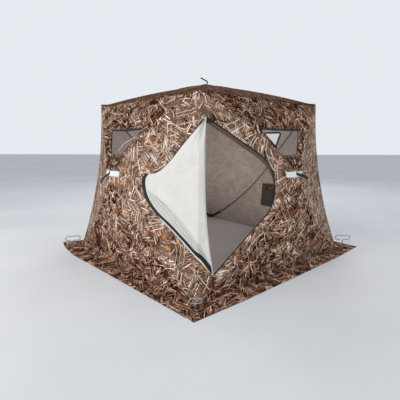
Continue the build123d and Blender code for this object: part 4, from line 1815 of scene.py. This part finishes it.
    def pull(self, f: Facet) -> None:
        """The hanging tape pull at the foot of the zip, and the stop tab at its top.

        Args:
            f: the facet they lie on.
        """
        mesh = SheetMesh("zip_pull_tape")
        x, y = self.foot
        s, t = grid(14, 4)
        xy = np.stack([x + 0.001 + (t - 0.5) * 0.016, y + 0.008 + 0.105 * s], -1)
        mesh.add(f.lift(xy, 0.006 + 0.006 * np.sin(3.0 * s)))
        tab = np.stack([self.top[0] + 0.012 + 0.058 * t, self.top[1] + 0.022 + 0.024 * s], -1)
        mesh.add(f.lift(tab, -0.004))
        place(mesh, "pull_webbing", [self.finishes.webbing], "zip_pull", thickness=0.003, offset=1.0)


# ---------------------------------------------------------------- skirt, patches, pocket


@dataclass
class Skirt:
    """Loose cloth round the base, creased along its length, its far corners lifting off the ice.

    Attributes:
        shape: the hut's sizes.
        finishes: its materials.
        cove: how high the cloth rises where it meets the wall.
        cove_share: share of its width that the rise takes.
        lay: share of the way along each wall, and how far outside the straight line its edge lies.
        curl: how high each corner lifts.
    """

    shape: HutShape
    finishes: Finishes
    cove: float = 0.030
    cove_share: float = 0.13
    lay: dict[str, Profile] = field(
        default_factory=lambda: {
            "front_right": ((0.2, 0.022), (0.5, 0.028), (0.8, 0.026)),
            "back_right": (),
            "back_left": ((0.5, 0.0), (0.80, -0.038), (0.94, -0.084)),
            "front_left": ((0.08, 0.060), (0.22, 0.098), (0.5, 0.060), (0.8, 0.022)),
        }
    )
    curl: dict[str, float] = field(
        default_factory=lambda: {"left": 0.004, "right": 0.0, "front": 0.0, "back": 0.02}
    )

    def bulge(self, wall: str, u: Array) -> Array:
        """How far a wall's outer edge lies outside the straight line.

        Args:
            wall: the wall.
            u: share of the way along it.

        Returns:
            Distances in metres.
        """
        knots = np.array([(0.0, 0.0), *self.lay[wall], (1.0, 0.0)])
        fine = np.linspace(0, 1, 401)
        line = np.interp(fine, *knots.T)
        spread = 16
        kernel = np.hanning(2 * spread + 1)
        pad = np.concatenate([np.repeat(line[:1], spread), line, np.repeat(line[-1:], spread)])
        soft = np.convolve(pad, kernel / kernel.sum(), "valid")
        return np.interp(u, fine, soft * smooth(np.minimum(fine, 1 - fine) / 0.02))

    def height(self, u: Array, t: Array, near: Array, seed: int) -> Array:
        """How high the skirt's folds stand off the ice.

        Args:
            u: share of the way along a wall.
            t: share of the way from the wall out to the skirt's edge.
            near: distance from the nearest corner, in metres.
            seed: which set of folds.

        Returns:
            Heights in metres.
        """
        x = u * self.shape.base_side
        wob = ripple(x, t * self.shape.skirt, 0.5, 300 + seed)
        turns = 2.3 * t + 0.25 * wob + 0.12 * ripple(x, t, 0.22, 310 + seed)
        fold = 0.5 + 0.5 * np.sin(2 * math.pi * turns)
        inside = smooth(t * 5) * smooth((1 - t) * 4 + 0.15)
        uneven = (0.55 + 0.35 * wob) * smooth(near / 0.12 + 0.2)
        return np.maximum(TAPE_FLOOR + 0.013 * fold * inside * uneven, TAPE_FLOOR)

    def build(self) -> None:
        """Makes the skirt as one ring of cloth."""
        s = self.shape
        mesh = SheetMesh("skirt_cloth")
        half = s.base_side / math.sqrt(2)
        gap = 0.0015
        turned = np.array([[0.2, 1.0], [1.0, -0.2]])
        for i, (w, (a, b)) in enumerate(WALLS.items()):
            u, t = grid(120, 22)
            reach = half + gap + (s.skirt * math.sqrt(2) - gap) * t
            cove = np.clip(1 - t / self.cove_share, 0, 1) ** 2 * self.cove
            p = (CORNERS[a] * (1 - u)[..., None] + CORNERS[b] * u[..., None]) * reach[..., None]
            p = p + s.out(w) * (self.bulge(w, u) * t)[..., None]
            p = p + s.out(w) * (cove * 0.17)[..., None]
            z = self.height(u, t, np.minimum(u, 1 - u) * 2 * reach / math.sqrt(2), i) + cove
            for k, c in ((a, u), (b, 1 - u)):
                d = np.hypot(c * 2 * reach / math.sqrt(2), (1 - t) * s.skirt)
                z = z + self.curl[k] * smooth(1 - d / 0.26) * smooth((t - 0.40) / 0.5)
            p[..., 2] = z
            uv = np.stack([u * s.base_side + 3 * i, t * s.skirt], -1) @ turned
            mesh.add(p, uv, toward=UP)
        both = [self.finishes.hem, self.finishes.lining]
        nodes = [f"skirt_{w}" for w in WALLS]
        ob = place(mesh, "skirt_cloth", both, *nodes, thickness=0.0025, inner_slot=1, offset=1.0)


@dataclass
class Trim:
    """Bare patches across the hubs, rod pockets, and the mesh pouch inside.

    Attributes:
        shape: the hut's sizes.
        facets: its facets.
        finishes: its materials.
        wide: a patch's width.
        shift: how far its middle lies from the hub.
        tall: its height.
        z: height of its middle.
        sleeve: share of the way down a rod where its pocket starts and ends.
        pouch: the pouch's upper and lower edge in the facet's working plane.
        pouch_half: half its width.
        pouch_deep: how far it stands off the wall.
    """

    shape: HutShape
    facets: dict[tuple[str, str], Facet]
    finishes: Finishes
    wide: float = 0.260
    shift: float = 0.009
    tall: float = 0.056
    z: float = 1.046
    sleeve: tuple[float, float] = (0.85, 0.967)
    pouch: tuple[float, float] = (0.335, 0.682)
    pouch_half: float = 0.120
    pouch_deep: float = 0.030

    def patches(self) -> None:
        """A bare white patch across each wall hub."""
        mesh = SheetMesh("bare_patches")
        u, t = grid(44, 8)
        for w in WALLS:
            out = self.shape.out(w)
            side = np.cross(UP, out)
            a = (u - 0.5) * self.wide + self.shift * Windows.sense(w)
            z = self.z + (t - 0.5) * self.tall
            points = side * a[..., None] + UP * z[..., None]
            best = np.full(u.shape, -1e9)
            for name in ("hub", "side_a", "side_b"):
                dist = (self.meet(self.facets[w, name], points, out) - points) @ out
                best = np.where(np.isfinite(dist), np.maximum(best, dist), best)
            mesh.add(points + out * best[..., None], np.stack([a, z], -1))
        place(mesh, "bare_patch", [self.finishes.patch], "label_patches", thickness=0.0014, offset=1.0)

    @staticmethod
    def meet(f: Facet, points: Array, way: Array) -> Array:
        """Where lines through points meet a facet.

        Args:
            f: the facet.
            points: the points.
            way: direction of the lines.

        Returns:
            Points just over the cloth, or nan where a line misses it.
        """
        x = unit(np.cross(UP, way))
        flat = Facet(f.net, np.zeros(3), x, UP, f.seed, f.slack)
        u, v = flat.solve(points @ x, points @ UP)
        over, past = 0.0035, 0.02
        p = f.surface(u, v, np.full(u.shape, over))
        off = (u < -past) | (u > 1 + past) | (v < -past) | (v > 1 + past)
        return np.where(off[..., None], np.nan, p)

    def rod_pockets(self) -> None:
        """Doubled webbing pockets that hold the lower ends of the wall rods."""
        mesh = SheetMesh("rod_pockets")
        ring = np.linspace(0, 2 * math.pi, 17)[:-1]
        t = np.linspace(*self.sleeve, 26)
        mouth = smooth((t - self.sleeve[0]) / 0.012)
        wide = (0.008 + 0.010 * mouth) * (1 + 0.06 * np.sin(t * 520))
        high = 0.0075 + 0.002 * mouth
        flat = np.sign(np.cos(ring)) * np.abs(np.cos(ring)) ** 0.7
        beside, off = wide[:, None] * flat, high[:, None] * np.sin(ring)
        uv = np.stack(np.broadcast_arrays(t[:, None], ring[None] * 0.006), -1)
        for w, pair in WALLS.items():
            for k in pair:
                c = self.shape.rod(w, k, False)
                path = CENTRE + (bernstein(t) @ c - CENTRE) * (1 - self.shape.rod_in_low)
                mesh.add(flat_tube(path, unit(slopes(t) @ c), beside, off), uv, wrap=True)
        place(mesh, "boot_webbing", [self.finishes.webbing], "rod_sleeves")

    def pocket(self) -> None:
        """A mesh pouch with a printed top hem on the back right wall."""
        f = self.facets["back_right", "lower"]
        top, low = self.pouch
        s, t = grid(18, 18)
        xy = np.stack([(2 * t - 1) * self.pouch_half, top + (low - top) * s], -1)
        round_out = np.clip(np.sin(math.pi * t), 0, 1) ** 0.35 * np.clip(1 - s**6, 0, 1)
        belly = self.pouch_deep * round_out * (0.9 + 0.1 * np.cos(7 * t))
        p = f.lift(xy, -0.006 - belly)
        mesh = SheetMesh("gear_pocket")
        way = -self.shape.out("back_right")
        hem = 4
        mesh.add(p[hem:], xy[hem:], toward=way)
        mesh.add(p[: hem + 1] + way * 0.001, xy[: hem + 1] + 2.0, slot=1, toward=way)
        both = [self.finishes.mesh, self.finishes.roof]
        place(mesh, "pocket_mesh", both, "inner_pocket", thickness=0.0015)


# ---------------------------------------------------------------- frame parts and studio


def dress_nodes(finishes: Finishes) -> None:
    """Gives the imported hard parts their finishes.

    Args:
        finishes: the hut's materials.
    """
    looks = {
        "wall_hubs": finishes.moulded, "roof_hub": finishes.moulded,
        "roof_rods": finishes.rod,
        "upper_rod_boots": finishes.webbing, "lower_rod_boots": finishes.webbing,
        "pull_straps": finishes.webbing,
        "grommets": finishes.eyelet, "ice_anchors": finishes.steel,
    }
    looks |= {f"rods_{w}": finishes.rod for w in WALLS}
    for name, material in looks.items():
        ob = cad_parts[name]
        for slot in ob.material_slots:
            slot.material = material
        log.info("%s dressed", name)


@dataclass
class Studio:
    """Pale floor, soft lamps and the camera.

    Attributes:
        eye: where the camera stands.
        tilt: its turn up from straight down, in degrees.
        pan: its turn to the left, in degrees.
        lens: its focal length, in millimetres.
        shift: its sideways shift.
        sky_light: strength of the sky as light.
        sky_seen: strength of the sky where it is seen or mirrored.
    """

    eye: Spot = (0.2195, -4.3437, 1.3751)
    tilt: float = 80.0
    pan: float = 2.893
    lens: float = 30.195
    shift: float = -0.0169
    sky_light: float = 0.58
    sky_seen: float = 0.92

    def build(self) -> None:
        """Sets the stage."""
        scene = bpy.context.scene
        scene.view_settings.view_transform = "Standard"
        cam = bpy.data.objects.new("camera", bpy.data.cameras.new("camera"))
        cam.data.lens, cam.data.sensor_width, cam.data.shift_x = self.lens, 36.0, self.shift
        cam.location = self.eye
        cam.rotation_euler = (math.radians(self.tilt), 0.0, math.radians(self.pan))
        scene.collection.objects.link(cam)
        scene.camera = cam
        self.floor()
        self.sky()
        self.lamp("key", (-4.2, -5.2, 5.2), 4.0, 250.0, (1.0, 0.98, 0.95))
        self.lamp("fill", (4.8, -4.0, 3.0), 4.0, 26.0, (0.94, 0.97, 1.0))
        self.lamp("back", (0.5, 5.5, 4.5), 4.0, 110.0, (1.0, 1.0, 1.0))
        self.lamp("inside", (0.0, -0.2, 0.35), 0.9, 17.0, (1.0, 0.97, 0.92), way=(0.0, 0.35, 1.0))

    def sky(self) -> None:
        """A pale sky, brighter where it is seen or mirrored than as light on the hut."""
        world = bpy.data.worlds.new("sky")
        world.use_nodes = True
        nodes, links = world.node_tree.nodes, world.node_tree.links
        bg, seen = nodes["Background"], nodes.new("ShaderNodeLightPath")
        bg.inputs[0].default_value = (0.86, 0.90, 0.95, 1.0)
        strength = nodes.new("ShaderNodeMapRange")
        strength.inputs["To Min"].default_value = self.sky_light
        strength.inputs["To Max"].default_value = self.sky_seen
        shown = seen.outputs["Is Camera Ray"]
        for ray in ("Is Glossy Ray", "Is Transmission Ray"):
            either = nodes.new("ShaderNodeMath")
            either.operation = "MAXIMUM"
            links.new(shown, either.inputs[0])
            links.new(seen.outputs[ray], either.inputs[1])
            shown = either.outputs[0]
        links.new(shown, strength.inputs[0])
        links.new(strength.outputs[0], bg.inputs[1])
        bpy.context.scene.world = world

    def floor(self) -> None:
        """A wide pale floor."""
        bpy.ops.mesh.primitive_plane_add(size=60.0, location=(0, 0, 0))
        ob = bpy.context.object
        ob.name = "floor"
        t = Tree("pale_floor")
        tone = t.mix(t.step(t.noise(t.place(), 0.8, 4.0), 0.3, 0.7), (0.78, 0.80, 0.83), (0.84, 0.85, 0.87))
        ob.data.materials.append(t.shade(Base_Color=tone, Roughness=0.9, Specular_IOR_Level=0.1))

    @staticmethod
    def lamp(
        name: str, at: Spot, size: float, power: float, colour: Colour, way: Spot | None = None
    ) -> None:
        """A soft square lamp that the camera does not see.

        Args:
            name: the lamp's name.
            at: where it hangs.
            size: its side, in metres.
            power: in watts.
            colour: its light.
            way: the way it shines, to the hut's middle by default.
        """
        data = bpy.data.lights.new(name, "AREA")
        data.size, data.energy, data.color = size, power, colour
        ob = bpy.data.objects.new(name, data)
        ob.location = at
        ob.visible_camera = False
        aim = unit(np.array(way) if way else CENTRE - np.array(at))
        ob.rotation_euler = Vector(aim.tolist()).to_track_quat("-Z", "Y").to_euler()
        bpy.context.scene.collection.objects.link(ob)


def main() -> None:
    """Builds the hut's pieces in order."""
    logging.basicConfig(level=logging.INFO, format="%(message)s")
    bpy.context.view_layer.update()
    shape = HutShape()
    facets = shape.facets()
    finishes = Finishes()
    Studio().build()
    windows, door = Windows(facets, finishes), Door(facets, finishes)
    holes = {w: windows.outline(w) for w in WALLS}
    Canopy(shape, facets, finishes, windows=holes, door=door.outline()).build()
    windows.build()
    door.flap()
    door.trims()
    Skirt(shape, finishes).build()
    trim = Trim(shape, facets, finishes)
    trim.patches()
    trim.pocket()
    trim.rod_pockets()
    dress_nodes(finishes)
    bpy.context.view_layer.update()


if __name__ == "__main__":
    main()
